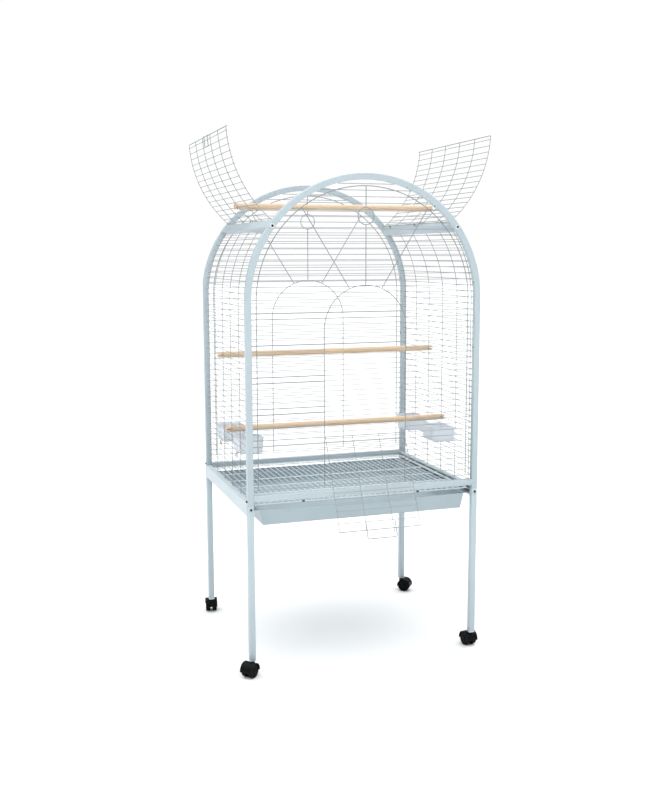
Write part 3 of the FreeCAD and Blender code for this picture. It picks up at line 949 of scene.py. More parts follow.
CAGE = CageMeasures()
X_AXIS, Y_AXIS, Z_AXIS = Vector((1, 0, 0)), Vector((0, 1, 0)), Vector((0, 0, 1))


@dataclass
class Tubes:
    """The square tubes: legs, hoops, rails and crossbars, each with rolled corners."""

    corner: float = 2.4 * MM
    arch_steps: int = 96
    crossbar_half: float = 15 * MM

    def build(self) -> None:
        """Build every tube."""
        for name, (side, end) in CORNERS.items():
            self.leg(name, side, end)
        for name, end in ENDS.items():
            self.hoop(name, end)
            self.rail(name)
        for name, side in SIDES.items():
            self.crossbar(name, side)

    def pile(self, node: str) -> Pile:
        """Return a pile that stands for one tube."""
        return Pile(f"{node}_tube", Slot.TUBE, "frame", (node,), smooth_angle=50.0)

    def leg(self, name: str, side: int, end: int) -> None:
        """Build one leg.

        Args:
            name: The corner's name.
            side: Its side in X.
            end: Its end in Y.
        """
        low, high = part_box(f"leg_{name}")
        half = CAGE.tube / 2
        x, y = side * CAGE.crown, end * (CAGE.half_depth - half)
        bar = straight_bar(Vector((x, y, low.z)), Vector((x, y, high.z)), X_AXIS, half, half, self.corner)
        self.pile(f"leg_{name}").add(bar).finish()

    def hoop(self, name: str, end: int) -> None:
        """Build a hoop: up one post, round the top and down the other.

        Args:
            name: The end's name.
            end: Its side in Y.
        """
        half = CAGE.tube / 2
        y = end * (CAGE.half_depth - half)
        stations = [(Vector((CAGE.crown, y, CAGE.joint)), X_AXIS, Z_AXIS.cross(X_AXIS))]
        for point, angle in self.hoop_line(y):
            out = Vector((math.cos(angle), 0, math.sin(angle)))
            along = Vector((-math.sin(angle), 0, math.cos(angle)))
            stations.append((point, out, along.cross(out)))
        stations.append((Vector((-CAGE.crown, y, CAGE.joint)), -X_AXIS, (-Z_AXIS).cross(-X_AXIS)))
        self.pile(f"hoop_{name}").add(swept_bar(stations, half, half, self.corner)).finish()

    def hoop_line(self, y: float) -> list[tuple[Vector, float]]:
        """Return the round top's middle line, as points and angles.

        Args:
            y: The hoop's plane.

        Returns:
            (point, angle above +X) along the line.
        """
        angles = [math.pi * n / self.arch_steps for n in range(self.arch_steps + 1)]
        return [(Vector((CAGE.crown * math.cos(a), y, CAGE.spring + CAGE.crown * math.sin(a))), a)
                for a in angles]

    def rail(self, name: str) -> None:
        """Build the rail across one end.

        Args:
            name: The end's name.
        """
        low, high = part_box(f"{name}_rail")
        middle = (low + high) / 2
        start, end = Vector((low.x, middle.y, middle.z)), Vector((high.x, middle.y, middle.z))
        half = CAGE.tube / 2
        self.pile(f"{name}_rail").add(straight_bar(start, end, Y_AXIS, half, half, self.corner)).finish()

    def crossbar(self, name: str, side: int) -> None:
        """Build one crossbar between the hoops.

        Args:
            name: The side's name.
            side: Its side in X.
        """
        angle = math.radians(CAGE.crossbar_angle)
        out = Vector((side * math.cos(angle), 0, math.sin(angle)))
        middle = Vector((0, 0, CAGE.spring)) + out * CAGE.crown
        start, end = middle - Y_AXIS * CAGE.inner_y, middle + Y_AXIS * CAGE.inner_y
        bar = straight_bar(start, end, out, CAGE.tube / 2, self.crossbar_half, self.corner)
        self.pile(f"crossbar_{name}").add(bar).finish()


@dataclass
class SheetWork:
    """The folded side rails and runners, and the litter tray."""

    sheet: float = 1.2 * MM
    bend: float = 1.6 * MM
    tray_skin: float = 0.8 * MM
    tray_top: float = 544 * MM
    tray_foot: tuple[float, float] = (347 * MM, 305 * MM)
    tray_mouth: tuple[float, float] = (356 * MM, 312 * MM)
    tray_corner: float = 3 * MM
    tray_bow: float = 0.6 * MM
    tray_lip_half: float = 311 * MM
    lip_drop: float = 6 * MM
    ledge_edge: float = 371 * MM
    shelf_drop: float = 1.0 * MM

    def build(self) -> None:
        """Build the sheet pieces."""
        for name, side in SIDES.items():
            self.side_rail(name, side)
            self.runner(name, side)
        self.tray()

    def rounded(self, line: Sequence[tuple[float, float]]) -> list[tuple[float, float]]:
        """Return a middle line with each inner corner bent to the sheet's radius.

        Args:
            line: The middle line's (x, z) points.

        Returns:
            The bent line.
        """
        points = [Vector(p) for p in line]
        smooth = [points[0]]
        for before, corner, after in zip(points, points[1:], points[2:]):
            back, ahead = (before - corner).normalized(), (after - corner).normalized()
            for n in range(5):
                t = n / 4
                start, end = corner + back * self.bend, corner + ahead * self.bend
                smooth.append((1 - t) ** 2 * start + 2 * t * (1 - t) * corner + t ** 2 * end)
        smooth.append(points[-1])
        return [(p.x, p.y) for p in smooth]

    def strip(self, node: str, lines: Sequence[Sequence[tuple[float, float]]], side: int) -> None:
        """Build a piece of folded strips.

        Args:
            node: The node that it stands for.
            lines: Each strip's middle line on the right side.
            side: Its side of the cage.
        """
        low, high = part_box(node)
        pile = Pile(f"{node}_sheet", Slot.SHEET, "frame", (node,), smooth_angle=35.0)
        for line in lines:
            pile.add(folded_strip(self.rounded(line), self.sheet, low.y, high.y, side))
        pile.finish()

    def side_rail(self, name: str, side: int) -> None:
        """Build one side rail, with its web, top flange and small inner lip.

        Args:
            name: The side's name.
            side: Its side in X.
        """
        low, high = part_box("side_rail_right")
        h = self.sheet / 2
        outer, inner, top = high.x - h, low.x + h, high.z - h
        line = [(outer, low.z), (outer, top), (inner, top), (inner, high.z - self.lip_drop)]
        self.strip(f"side_rail_{name}", [line], side)

    def runner(self, name: str, side: int) -> None:
        """Build one runner, with its web, tray shelf and grate ledge.

        Args:
            name: The side's name.
            side: Its side in X.
        """
        low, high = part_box("runner_right")
        tray_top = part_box("tray")[1].z
        h = self.sheet / 2
        shelf = round(tray_top, 4) - self.shelf_drop - h
        web = [(high.x - h, low.z), (high.x - h, high.z - h), (self.ledge_edge, high.z - h)]
        self.strip(f"runner_{name}", [web, [(high.x - self.sheet, shelf), (low.x, shelf)]], side)

    def ring(self, half: tuple[float, float], z: float, corner: float) -> Ring:
        """Return a rounded rectangle's ring at one height."""
        return [Vector((u, v, z)) for u, v in rounded_outline(half[0], half[1], corner, 3)]

    def tray(self) -> None:
        """Build the litter tray, with a rolled rim and side lips."""
        low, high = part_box("tray")
        bottom, top, skin, bow = low.z, self.tray_top, self.tray_skin, self.tray_bow
        foot, mouth, corner = self.tray_foot, self.tray_mouth, self.tray_corner
        rings = [
            self.ring((foot[0] - 1.2 * MM, foot[1] - 1.2 * MM), bottom, corner),
            self.ring((foot[0] - 0.4 * MM, foot[1] - 0.4 * MM), bottom + 0.3 * MM, corner),
            self.ring(foot, bottom + 1.2 * MM, corner),
            self.ring((mouth[0] - bow, mouth[1] - bow), top - 3.6 * MM, corner),
            self.ring(mouth, top - 3.0 * MM, corner),
            self.ring(mouth, top - 0.8 * MM, corner),
            self.ring((mouth[0] - 0.8 * MM, mouth[1] - 0.8 * MM), top, corner),
            self.ring((mouth[0] - 2.6 * MM, mouth[1] - 2.6 * MM), top, corner),
            self.ring((mouth[0] - 3.2 * MM, mouth[1] - 3.2 * MM), top - 0.8 * MM, corner),
            self.ring((mouth[0] - bow - skin, mouth[1] - bow - skin), top - 3.6 * MM, corner),
            self.ring((foot[0] - skin, foot[1] - skin), bottom + 1.6 * MM, corner),
            self.ring((foot[0] - 2 * skin, foot[1] - 2 * skin), bottom + skin, corner),
        ]
        pile = Pile("litter_tray", Slot.TRAY, "tray", ("tray",), smooth_angle=35.0)
        pile.add(facing_out(ring_mesh(rings)))
        for side in (-1, 1):
            x0, x1 = side * (mouth[0] - 1 * MM), side * high.x
            start = Vector(((x0 + x1) / 2, -self.tray_lip_half, top - skin / 2))
            end = Vector(((x0 + x1) / 2, self.tray_lip_half, top - skin / 2))
            pile.add(straight_bar(start, end, X_AXIS, abs(x1 - x0) / 2, skin / 2, 0.35 * MM))
        pile.finish()


@dataclass
class SidePanels:
    """The welded panels on the left and right, which follow the posts and the round top."""

    rows: int = 43
    first_row: float = 585 * MM
    foot: float = 570 * MM
    plane: float = 388 * MM
    top_angle: float = 34.4
    uprights: tuple[float, ...] = (-283 * MM, -175 * MM, -58.5 * MM, 58.5 * MM, 175 * MM, 283 * MM)

    def right_meshes(self) -> list[bpy.types.Mesh]:
        """Return the right panel's rows, uprights and welds.

        Returns:
            The meshes.
        """
        straight = CAGE.spring - self.first_row
        arc_length = self.plane * math.radians(34.2)
        rows = 1 + int((straight + arc_length) / WORK.pitch)
        inputs = {"Rows": rows, "First": 0.0, "Pitch": WORK.pitch, "Straight": straight,
                  "Bend": self.plane, "Foot": self.first_row, "Half length": CAGE.inner_y,
                  "Wire radius": WORK.wire, "Material": PAINTS.get(Slot.WIRE)}
        lines = GROWER.grow(rows_round_a_hoop, inputs)
        bend = self.plane - 2 * WORK.wire
        paths, welds = [], []
        for y in self.uprights:
            top = arc(y, (0, CAGE.spring), bend, 0, math.radians(self.top_angle))
            paths.append([Vector((bend, y, self.foot)), *top])
            for n in range(rows):
                welds.append(self.weld(y, n * WORK.pitch, straight))
        return [lines, WORK.wires(paths, WORK.wire), WORK.beads(welds)]

    def weld(self, y: float, climbed: float, straight: float) -> Vector:
        """Return where a row crosses an upright.

        Args:
            y: The upright's place.
            climbed: How far the row is along the panel.
            straight: The straight part's height.

        Returns:
            The point.
        """
        middle = self.plane - WORK.wire
        angle = max(climbed - straight, 0) / self.plane
        height = self.first_row + min(climbed, straight)
        return Vector((middle * math.cos(angle), y, height + middle * math.sin(angle)))

    def build(self) -> None:
        """Build both side panels."""
        right = self.right_meshes()
        left = [mirrored(m) for m in right]
        for name, meshes in (("panel_right", right), ("panel_left", left)):
            Pile(f"{name}_wires", Slot.WIRE, "frame", (name,)).add(*meshes).finish()


@dataclass
class FacePanels:
    """The front and rear panels, with the arch, ring and struts that decorate them."""

    plane: float = 312 * MM
    first_row: float = 607 * MM
    edge: float = 361 * MM
    arch: float = 140 * MM
    arch_spring: float = 1110 * MM
    ring_height: float = 1467 * MM
    ring_radius: float = 27 * MM
    strut: tuple[tuple[float, float], tuple[float, float]] = (
        (56 * MM, 1241.5 * MM), (210.8 * MM, 1490.0 * MM))
    door_rows: tuple[int, int] = (9, 23)

    @property
    def row_count(self) -> int:
        """The number of rows up to the crown."""
        return 1 + int((CAGE.spring + CAGE.inner_x - 5 * MM - self.first_row) / WORK.pitch)

    def rows(self, y: float, first: int, count: int, middle: float = 0.0,
             half: float | None = None) -> bpy.types.Mesh:
        """Return a run of rows.

        Args:
            y: The rows' plane.
            first: The number of the first row.
            count: How many there are.
            middle: The middle of the rows in X.
            half: Half their length, or None for the width between the posts.

        Returns:
            The rows' mesh.
        """
        inputs = {"Rows": count, "Middle": middle, "Plane": y,
                  "First": self.first_row + first * WORK.pitch, "Pitch": WORK.pitch,
                  "Half width": half or CAGE.inner_x, "Spring": CAGE.spring,
                  "Wire radius": WORK.wire, "Material": PAINTS.get(Slot.WIRE)}
        return GROWER.grow(rows_across_an_arch, inputs)

    def pattern(self, y: float) -> list[list[Vector]]:
        """Return the frame wires' paths in the plane y.

        Args:
            y: The plane.

        Returns:
            The paths.
        """
        foot = self.first_row - WORK.frame_wire
        half_turn = math.pi
        edge = arc(y, (0, CAGE.spring), self.edge, 0, half_turn, 72)
        arch = arc(y, (0, self.arch_spring), self.arch, 0, half_turn, 40)
        paths = [[Vector((self.edge, y, foot)), *edge, Vector((-self.edge, y, foot))],
                 [Vector((self.arch, y, foot)), *arch, Vector((-self.arch, y, foot))],
                 arc(y, (0, self.ring_height), self.ring_radius, 0, 2 * math.pi, 36)]
        arch_top = self.arch_spring + self.arch
        paths.append([Vector((0, y, arch_top)), Vector((0, y, self.ring_height - self.ring_radius))])
        paths.append([Vector((0, y, self.ring_height + self.ring_radius)),
                      Vector((0, y, CAGE.spring + self.edge))])
        for side in (-1, 1):
            paths.append([Vector((side * x, y, z)) for x, z in self.strut])
        return paths

    def welds(self, y: float) -> list[Vector]:
        """Return where rows cross the edge wire and the arch.

        Args:
            y: The plane.

        Returns:
            The points.
        """
        places = []
        for n in range(self.row_count):
            z = self.first_row + n * WORK.pitch
            over = max(z - CAGE.spring, 0)
            if over < self.edge - 2 * MM:
                places += self.pair(math.sqrt(self.edge ** 2 - over ** 2), y, z)
            over = max(z - self.arch_spring, 0)
            if over < self.arch - 2 * MM:
                places += self.pair(math.sqrt(self.arch ** 2 - over ** 2), y, z)
        return places

    def pair(self, x: float, y: float, z: float) -> list[Vector]:
        """Return a place and its mirror image."""
        return [Vector((x, y, z)), Vector((-x, y, z))]

    def build(self) -> None:
        """Build both panels."""
        for name, end in ENDS.items():
            y = end * self.plane
            inside = end * (self.plane - WORK.wire - WORK.frame_wire)
            pile = Pile(f"panel_{name}_wires", Slot.WIRE, "frame", (f"panel_{name}",))
            if name == "front":
                low, high = self.door_rows
                stub_half = (CAGE.inner_x - self.arch + 0.6 * MM) / 2
                stub_middle = CAGE.inner_x - stub_half
                pile.add(self.rows(y, 0, low), self.rows(y, high, self.row_count - high))
                for side in (-1, 1):
                    pile.add(self.rows(y, low, high - low, side * stub_middle, stub_half))
            else:
                pile.add(self.rows(y, 0, self.row_count))
            pile.add(WORK.wires(self.pattern(inside), WORK.frame_wire))
            pile.add(WORK.beads(self.welds(end * (self.plane - WORK.wire))))
            pile.finish()


@dataclass
class FrontDoor:
    """The drawbridge door, drawn shut about its hinge and then let down."""

    half_width: float = 137 * MM
    length: float = 312 * MM
    hinge: Point = (0.0, -312 * MM, 767 * MM)
    open_angle: float = 153.4
    stand_off: float = 3.0 * MM
    eye: float = 1.52 * MM
    rows: int = 15

    def place(self, mesh: bpy.types.Mesh) -> bpy.types.Mesh:
        """Turn a mesh drawn shut about the origin to the open door's place.

        Args:
            mesh: The mesh, which is changed.

        Returns:
            The same mesh.
        """
        turn = Matrix.Rotation(math.radians(self.open_angle), 4, "X")
        mesh.transform(Matrix.Translation(self.hinge) @ turn)
        return mesh

    def build(self) -> None:
        """Build the door and its latch loop."""
        self.door()
        self.latch()

    def door(self) -> None:
        """Build the door's uprights, rows, end wire, eyes and welds."""
        wire, off = WORK.wire, self.stand_off
        columns = (-self.half_width, -self.half_width / 3, self.half_width / 3, self.half_width)
        uprights, welds, eyes = [], [], []
        for x in columns:
            tip = self.length + (16 * MM if 0 < x < self.half_width else 1 * MM)
            uprights.append([(x, -off, 0.6 * MM), (x, -off, tip)])
            welds += [(x, -off - wire, 5 * MM + WORK.pitch * n) for n in range(self.rows)]
            eyes.append(WORK.hook(Vector((x, 0, 0)), self.eye, Y_AXIS))
        reach = self.half_width + wire
        crossings = [[(-reach, -off - 2 * wire, 5 * MM + WORK.pitch * n),
                      (reach, -off - 2 * wire, 5 * MM + WORK.pitch * n)] for n in range(self.rows)]
        end_y = -off - wire - WORK.frame_wire
        end = [[(-reach, end_y, self.length), (reach, end_y, self.length)]]
        pile = Pile("front_door_wires", Slot.WIRE, "door", ("front_door",))
        pile.add(WORK.wires(uprights, wire), WORK.wires(crossings, wire),
                 WORK.wires(end, WORK.frame_wire), WORK.beads(welds), *eyes)
        for mesh in pile.meshes:
            self.place(mesh)
        pile.finish()

    def latch(self) -> None:
        """Build the loop that catches the panel above the opening."""
        y = -(self.stand_off + WORK.wire + 3 * WORK.frame_wire)
        start, end = self.length - 25 * MM, self.length + 28 * MM
        path = [(-45 * MM, y, start), (-45 * MM, y, end), (55 * MM, y, end), (55 * MM, y, start)]
        mesh = self.place(WORK.wires([path], WORK.frame_wire, bend=7 * MM))
        Pile("door_latch_loop", Slot.WIRE, "door", ("door_latch",)).add(mesh).finish()


@dataclass
class TopFlaps:
    """The two curved flaps, drawn shut on the round top and then swung open, and their hinges."""

    hinge_angle: float = 40.3
    length: float = 322 * MM
    open_angle: float = 91.0
    hinge_rod: float = 1.5 * MM
    eye_gap: float = 0.42 * MM
    stand_off: float = 3.4 * MM
    half_depth: float = 291 * MM
    rod_half: float = 300 * MM
    lugs: tuple[float, ...] = (-232 * MM, 0.0, 232 * MM)
    lug_top: float = 3.1 * MM
    lug_foot: float = 7.4 * MM
    lug_half: float = 1.4 * MM
    lug_corner: float = 1.0 * MM
    latch_half: float = 26 * MM
    latch_fold: float = 34 * MM
    latch_past: float = 2 * MM
    first_row: float = 10 * MM
    rows: int = 16
    columns: tuple[float, ...] = (-290 * MM, -174 * MM, -58 * MM, 58 * MM, 174 * MM, 290 * MM)

    @property
    def hinge(self) -> Vector:
        """A point on the right hinge's axis."""
        angle = math.radians(self.hinge_angle)
        return Vector((CAGE.crown * math.cos(angle), 0, CAGE.spring + CAGE.crown * math.sin(angle)))

    def on_round(self, radius: float, along: float, y: float = 0.0) -> Vector:
        """Return the point so far along a shut right flap from its hinge."""
        angle = math.radians(self.hinge_angle) + along / CAGE.crown
        return Vector((radius * math.cos(angle), y, CAGE.spring + radius * math.sin(angle)))

    def swing(self, mesh: bpy.types.Mesh) -> bpy.types.Mesh:
        """Swing a shut right flap's mesh open.

        Args:
            mesh: The mesh, which is changed.

        Returns:
            The same mesh.
        """
        turn = Matrix.Rotation(math.radians(self.open_angle), 4, "Y")
        mesh.transform(Matrix.Translation(self.hinge) @ turn @ Matrix.Translation(-self.hinge))
        return mesh

    def flap_meshes(self) -> list[bpy.types.Mesh]:
        """Return the right flap's rows, uprights, end wire, eyes and welds, swung open.

        Returns:
            The meshes.
        """
        crown, wire = CAGE.crown + self.stand_off, WORK.wire
        start = math.radians(self.hinge_angle)
        row_crown = crown - 2 * wire
        inputs = {"Rows": self.rows, "First": (self.hinge_angle * math.pi / 180 * CAGE.crown
                  + self.first_row) * row_crown / CAGE.crown, "Pitch": WORK.pitch * row_crown / CAGE.crown,
                  "Straight": 0.0, "Bend": row_crown, "Foot": CAGE.spring,
                  "Half length": self.half_depth, "Wire radius": wire, "Material": PAINTS.get(Slot.WIRE)}
        rows = GROWER.grow(rows_round_a_hoop, inputs)
        paths, welds, eyes = [], [], []
        for y in self.columns:
            paths.append(arc(y, (0, CAGE.spring), crown, start, start + self.length / CAGE.crown, 28))
            welds += [self.on_round(crown - wire, self.first_row + n * WORK.pitch, y)
                      for n in range(self.rows)]
            eyes.append(WORK.hook(self.hinge + Y_AXIS * y, self.hinge_rod + self.eye_gap, X_AXIS))
        tip = crown - wire - WORK.frame_wire
        edge = [[self.on_round(tip, self.length, -self.half_depth),
                 self.on_round(tip, self.length, self.half_depth)]]
        meshes = [rows, WORK.wires(paths, wire), WORK.wires(edge, WORK.frame_wire),
                  WORK.beads(welds), *eyes]
        return [self.swing(m) for m in meshes]

    def latch(self) -> bpy.types.Mesh:
        """Return the loop at the free edge, folded back over the right flap and swung open.

        Returns:
            The mesh.
        """
        outer = CAGE.crown + self.stand_off + self.latch_past
        edge, fold = self.length + self.latch_past, self.length - self.latch_fold
        half = self.latch_half
        path = [self.on_round(outer, edge, -half), self.on_round(outer, fold, -half),
                self.on_round(outer, fold, half), self.on_round(outer, edge, half)]
        return self.swing(WORK.wires([path], WORK.frame_wire, bend=7 * MM))

    def hinge_meshes(self) -> list[bpy.types.Mesh]:
        """Return the right hinge's rod and the lugs that carry it.

        Returns:
            The meshes.
        """
        spot, reach = self.hinge, Y_AXIS * self.rod_half
        meshes = [WORK.wires([[spot - reach, spot + reach]], self.hinge_rod)]
        angle = math.radians(CAGE.crossbar_angle)
        out = Vector((math.cos(angle), 0, math.sin(angle)))
        up = Vector((-math.sin(angle), 0, math.cos(angle)))
        for y in self.lugs:
            top = spot + Y_AXIS * y + up * self.lug_top
            foot = spot + Y_AXIS * y - up * self.lug_foot
            meshes.append(straight_bar(foot, top, out, self.lug_top, self.lug_half, self.lug_corner))
        return meshes

    def build(self) -> None:
        """Build both flaps, the left one's latch and both hinges."""
        right = self.flap_meshes()
        left = [mirrored(m) for m in right]
        for name, meshes in (("right", right), ("left", left)):
            pile = Pile(f"top_flap_{name}_wires", Slot.WIRE, f"flap_{name}", (f"top_flap_{name}",))
            pile.add(*meshes).finish()
        latch = mirrored(self.latch())
        Pile("flap_latch_loop", Slot.WIRE, "flap_left", ("flap_latch",)).add(latch).finish()
        rods = self.hinge_meshes()
        other = [mirrored(m) for m in rods]
        for name, meshes in (("right", rods), ("left", other)):
            pile = Pile(f"flap_hinge_{name}_rod", Slot.WIRE, "frame", (f"flap_hinge_{name}",))
            pile.add(*meshes).finish()


@dataclass
class Grate:
    """The floor grate: a frame of thick wire, cross bars and close wires on top."""

    thick: float = 2.0 * MM
    wires: int = 37
    bars: int = 6
    bar_pitch: float = 110 * MM
    first_bar: float = -275 * MM
    corner: float = 6 * MM

    def build(self) -> None:
        """Build the grate."""
        low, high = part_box("grate")
        z = low.z + self.thick
        x, y = high.x - self.thick, high.y - self.thick
        around = [(0, -y, z), (x, -y, z), (x, y, z), (-x, y, z), (-x, -y, z), (-0.001 * MM, -y, z)]
        top = z + self.thick + WORK.wire
        lift = self.thick - WORK.frame_wire
        bar_places = [self.first_bar + self.bar_pitch * n for n in range(self.bars)]
        bars = [[(-x, bar, z + lift), (x, bar, z + lift)] for bar in bar_places]
        fine, welds = [], []
        for n in range(self.wires):
            at = (n - (self.wires - 1) / 2) * WORK.pitch
            fine.append([(at, -y - 1 * MM, top), (at, y + 1 * MM, top)])
            welds += [(at, -y, top - WORK.wire), (at, y, top - WORK.wire)]
            welds += [(at, bar, top - WORK.wire) for bar in bar_places]
        pile = Pile("floor_grate_wires", Slot.GRATE, "grate", ("grate",))
        pile.add(WORK.wires([around], self.thick, Slot.GRATE, bend=self.corner),
                 WORK.wires(bars, WORK.frame_wire, Slot.GRATE), WORK.wires(fine, WORK.wire, Slot.GRATE),
                 WORK.beads(welds, Slot.GRATE))
        pile.finish()


@dataclass
class Dowels:
    """The three wooden perches."""

    radius: float = 10.5 * MM
    chamfer: float = 1.0 * MM
    slot_half: float = 1.5 * MM
    slot_depth: float = 16 * MM
    notch_in: float = 8 * MM
    notch_half: float = 2 * MM
    notch_depth: float = 3.5 * MM
    steps: int = 40

    def round_run(self, start: float, end: float, y: float, z: float,
                  ends: tuple[bool, bool]) -> bpy.types.Mesh:
        """Return a run of full dowel, chamfered at the ends that are asked for.

        Args:
            start: Its low end in X.
            end: Its high end in X.
            y: The dowel's place.
            z: The dowel's height.
            ends: Whether the low and the high end are chamfered.

        Returns:
            The mesh.
        """
        r, c = self.radius, self.chamfer
        profile = [(r - c, 0.0), (r, c)] if ends[0] else [(r, 0.0)]
        length = end - start
        profile += [(r, length - c), (r - c, length)] if ends[1] else [(r, length)]
        return turned(profile, Vector((start, y, z)), X_AXIS, self.steps)

    def outline(self, cut: float, count: int) -> list[tuple[float, float]]:
        """Return the dowel's outline above a level cut.

        Args:
            cut: The cut's height above the dowel's middle.
            count: The number of steps.

        Returns:
            The (y, z) points about the dowel's middle.
        """
        limit = math.asin(cut / self.radius)
        angles = [limit + (math.pi - 2 * limit) * n / count for n in range(count + 1)]
        return [(self.radius * math.cos(a), self.radius * math.sin(a)) for a in angles]

    def half_run(self, start: float, end: float, y: float, z: float, upper: bool,
                 gap: float) -> bpy.types.Mesh:
        """Return the half of a dowel above or below its slot.

        Args:
            start: Its first end.
            end: Its last end, which is chamfered.
            y: The dowel's place.
            z: The dowel's height.
            upper: Whether it is the upper half.
            gap: How far from the middle the half starts.

        Returns:
            The mesh.
        """
        sign = 1 if upper else -1
        outline = [(u, sign * v) for u, v in self.outline(gap, self.steps // 2)]
        shrink = 1 - self.chamfer / self.radius
        toward = 1 if end > start else -1
        rings = []
        for x, size in ((start, 1.0), (end - toward * self.chamfer, 1.0), (end, shrink)):
            rings.append([Vector((x, y + u * size, z + (v * size if abs(v) > gap + 1e-6 else v)))
                          for u, v in outline])
        return facing_out(ring_mesh(rings))

    def slotted(self, node: str) -> None:
        """Build a perch whose ends are slotted.

        Args:
            node: The perch that it stands for.
        """
        low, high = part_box(node)
        y, z = (low.y + high.y) / 2, (low.z + high.z) / 2
        inner = high.x - self.slot_depth
        pile = Pile(f"{node}_dowel", Slot.DOWEL, node, (node,), smooth_angle=35.0)
        pile.add(self.round_run(-inner, inner, y, z, (False, False)))
        for side in (-1, 1):
            for upper in (False, True):
                pile.add(self.half_run(side * inner, side * high.x, y, z, upper, self.slot_half))
        pile.finish()

    def notched(self, node: str) -> None:
        """Build the top perch, notched below where it sits on a wire of each flap.

        Args:
            node: The perch that it stands for.
        """
        low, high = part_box(node)
        y, z = (low.y + high.y) / 2, high.z - self.radius
        seat, half = high.x - self.notch_in, self.notch_half
        pile = Pile(f"{node}_dowel", Slot.DOWEL, node, (node,), smooth_angle=35.0)
        pile.add(self.round_run(-seat + half, seat - half, y, z, (False, False)))
        for side in (-1, 1):
            start, end = side * (seat - half), side * (seat + half)
            bridge = self.bridge(start, end, y, z)
            tip = sorted((side * (seat + half), side * high.x))
            pile.add(bridge, self.round_run(tip[0], tip[1], y, z, (side < 0, side > 0)))
        pile.finish()

    def bridge(self, start: float, end: float, y: float, z: float) -> bpy.types.Mesh:
        """Return the stretch of dowel over a notch.

        Args:
            start: The notch's first end.
            end: The notch's last end.
            y: The dowel's place.
            z: The dowel's height.

        Returns:
            The mesh.
        """
        outline = self.outline(-self.notch_depth, self.steps // 2 + 6)
        rings = [[Vector((x, y + u, z + v)) for u, v in outline] for x in (start, end)]
        return facing_out(ring_mesh(rings))

    def build(self) -> None:
        """Build the perches."""
        self.slotted("perch_middle")
        self.slotted("perch_low")
        self.notched("perch_top")


@dataclass
class Cups:
    """The four feeder cups and the bent wires that hold them."""

    back_corner: float = 3 * MM
    holder_reach: float = 56 * MM

    def outline(self, box: tuple[Vector, Vector], height: float, front: float, ends: float,
                back: float, corner: float) -> Ring:
        """Return a cup's ring at one height.

        Args:
            box: The cup's box.
            height: The height above its foot.
            front: How far the ring stands in from the box's front face.
            ends: How far it stands in from both ends.
            back: How far it stands in from the back.
            corner: The radius of the two front corners.

        Returns:
            The ring, anticlockwise from above.
        """
        low, high = box
        x0, x1 = low.x + front * MM, high.x - back * MM
        y0, y1 = low.y + ends * MM, high.y - ends * MM
        back_corner, front_corner = self.back_corner, corner * MM
        corners = [(x1, y1, back_corner), (x0, y1, front_corner),
                   (x0, y0, front_corner), (x1, y0, back_corner)]
        ring = []
        for quarter, (x, y, radius) in enumerate(corners):
            middle = Vector((x - radius if x == x1 else x + radius,
                             y - radius if y == y1 else y + radius, low.z + height * MM))
            for n in range(9):
                angle = math.radians(90 * (quarter + n / 8))
                ring.append(middle + Vector((math.cos(angle), math.sin(angle), 0)) * radius)
        return ring

    def cup_mesh(self) -> bpy.types.Mesh:
        """Return the right rear cup: a rounded foot, slightly leaning walls and a rolled lip.

        Returns:
            The mesh.
        """
        outside = [(0.0, 11.0, 8.0, 3.2, 18.0), (0.4, 9.4, 6.4, 1.8, 19.0), (1.6, 8.2, 5.2, 1.1, 21.0),
                   (12.0, 7.0, 4.5, 0.9, 24.0), (44.0, 3.4, 3.3, 0.4, 29.0), (46.2, 3.1, 3.1, 0.4, 30.0)]
        lip = [(46.7, 0.5, 0.5, 0.1, 31.0), (47.3, 0.0, 0.0, 0.0, 32.0), (48.4, 0.0, 0.0, 0.0, 32.0),
               (49.0, 0.6, 0.6, 0.4, 31.0), (49.0, 4.4, 4.4, 1.8, 28.0), (48.4, 5.0, 5.0, 2.2, 28.0)]
        inside = [(44.0, 5.3, 5.2, 2.3, 27.5), (12.0, 8.9, 6.4, 2.8, 22.0), (3.6, 10.2, 7.2, 3.2, 19.0),
                  (1.9, 12.0, 9.0, 4.5, 17.0)]
        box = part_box("cup_rear_right")
        return facing_out(ring_mesh([self.outline(box, *level) for level in outside + lip + inside]))

    def build(self) -> None:
        """Build the cups and their holders."""
        cup = self.cup_mesh()
        for name, (side, end) in CORNERS.items():
            mesh = cup.copy()
            mesh.transform(Matrix.Diagonal((side, end, 1, 1)))
            if side * end < 0:
                mesh.flip_normals()
            node = f"cup_{name}"
            Pile(f"{node}_tub", Slot.CUP, node, (node,), smooth_angle=60.0).add(mesh).finish()
        bpy.data.meshes.remove(cup)
        self.holders()

    def holders(self) -> None:
        """Build the bent wires under the cups."""
        low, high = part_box("cup_holders")
        x, z = high.x - WORK.frame_wire, high.z - WORK.frame_wire
        y0, y1 = high.y - 20 * MM + 0.5 * MM, high.y - WORK.frame_wire - 0.5 * MM
        paths = []
        for side, end in CORNERS.values():
            tip = x - self.holder_reach
            path = [(x, y0, low.z), (x, y0, z), (tip, y0, z), (tip, y1, z), (x, y1, z), (x, y1, low.z)]
            paths.append([(side * px, end * py, pz) for px, py, pz in path])
        mesh = WORK.wires(paths, WORK.frame_wire, bend=4 * MM)
        Pile("cup_holder_wires", Slot.WIRE, "frame", ("cup_holders",)).add(mesh).finish()


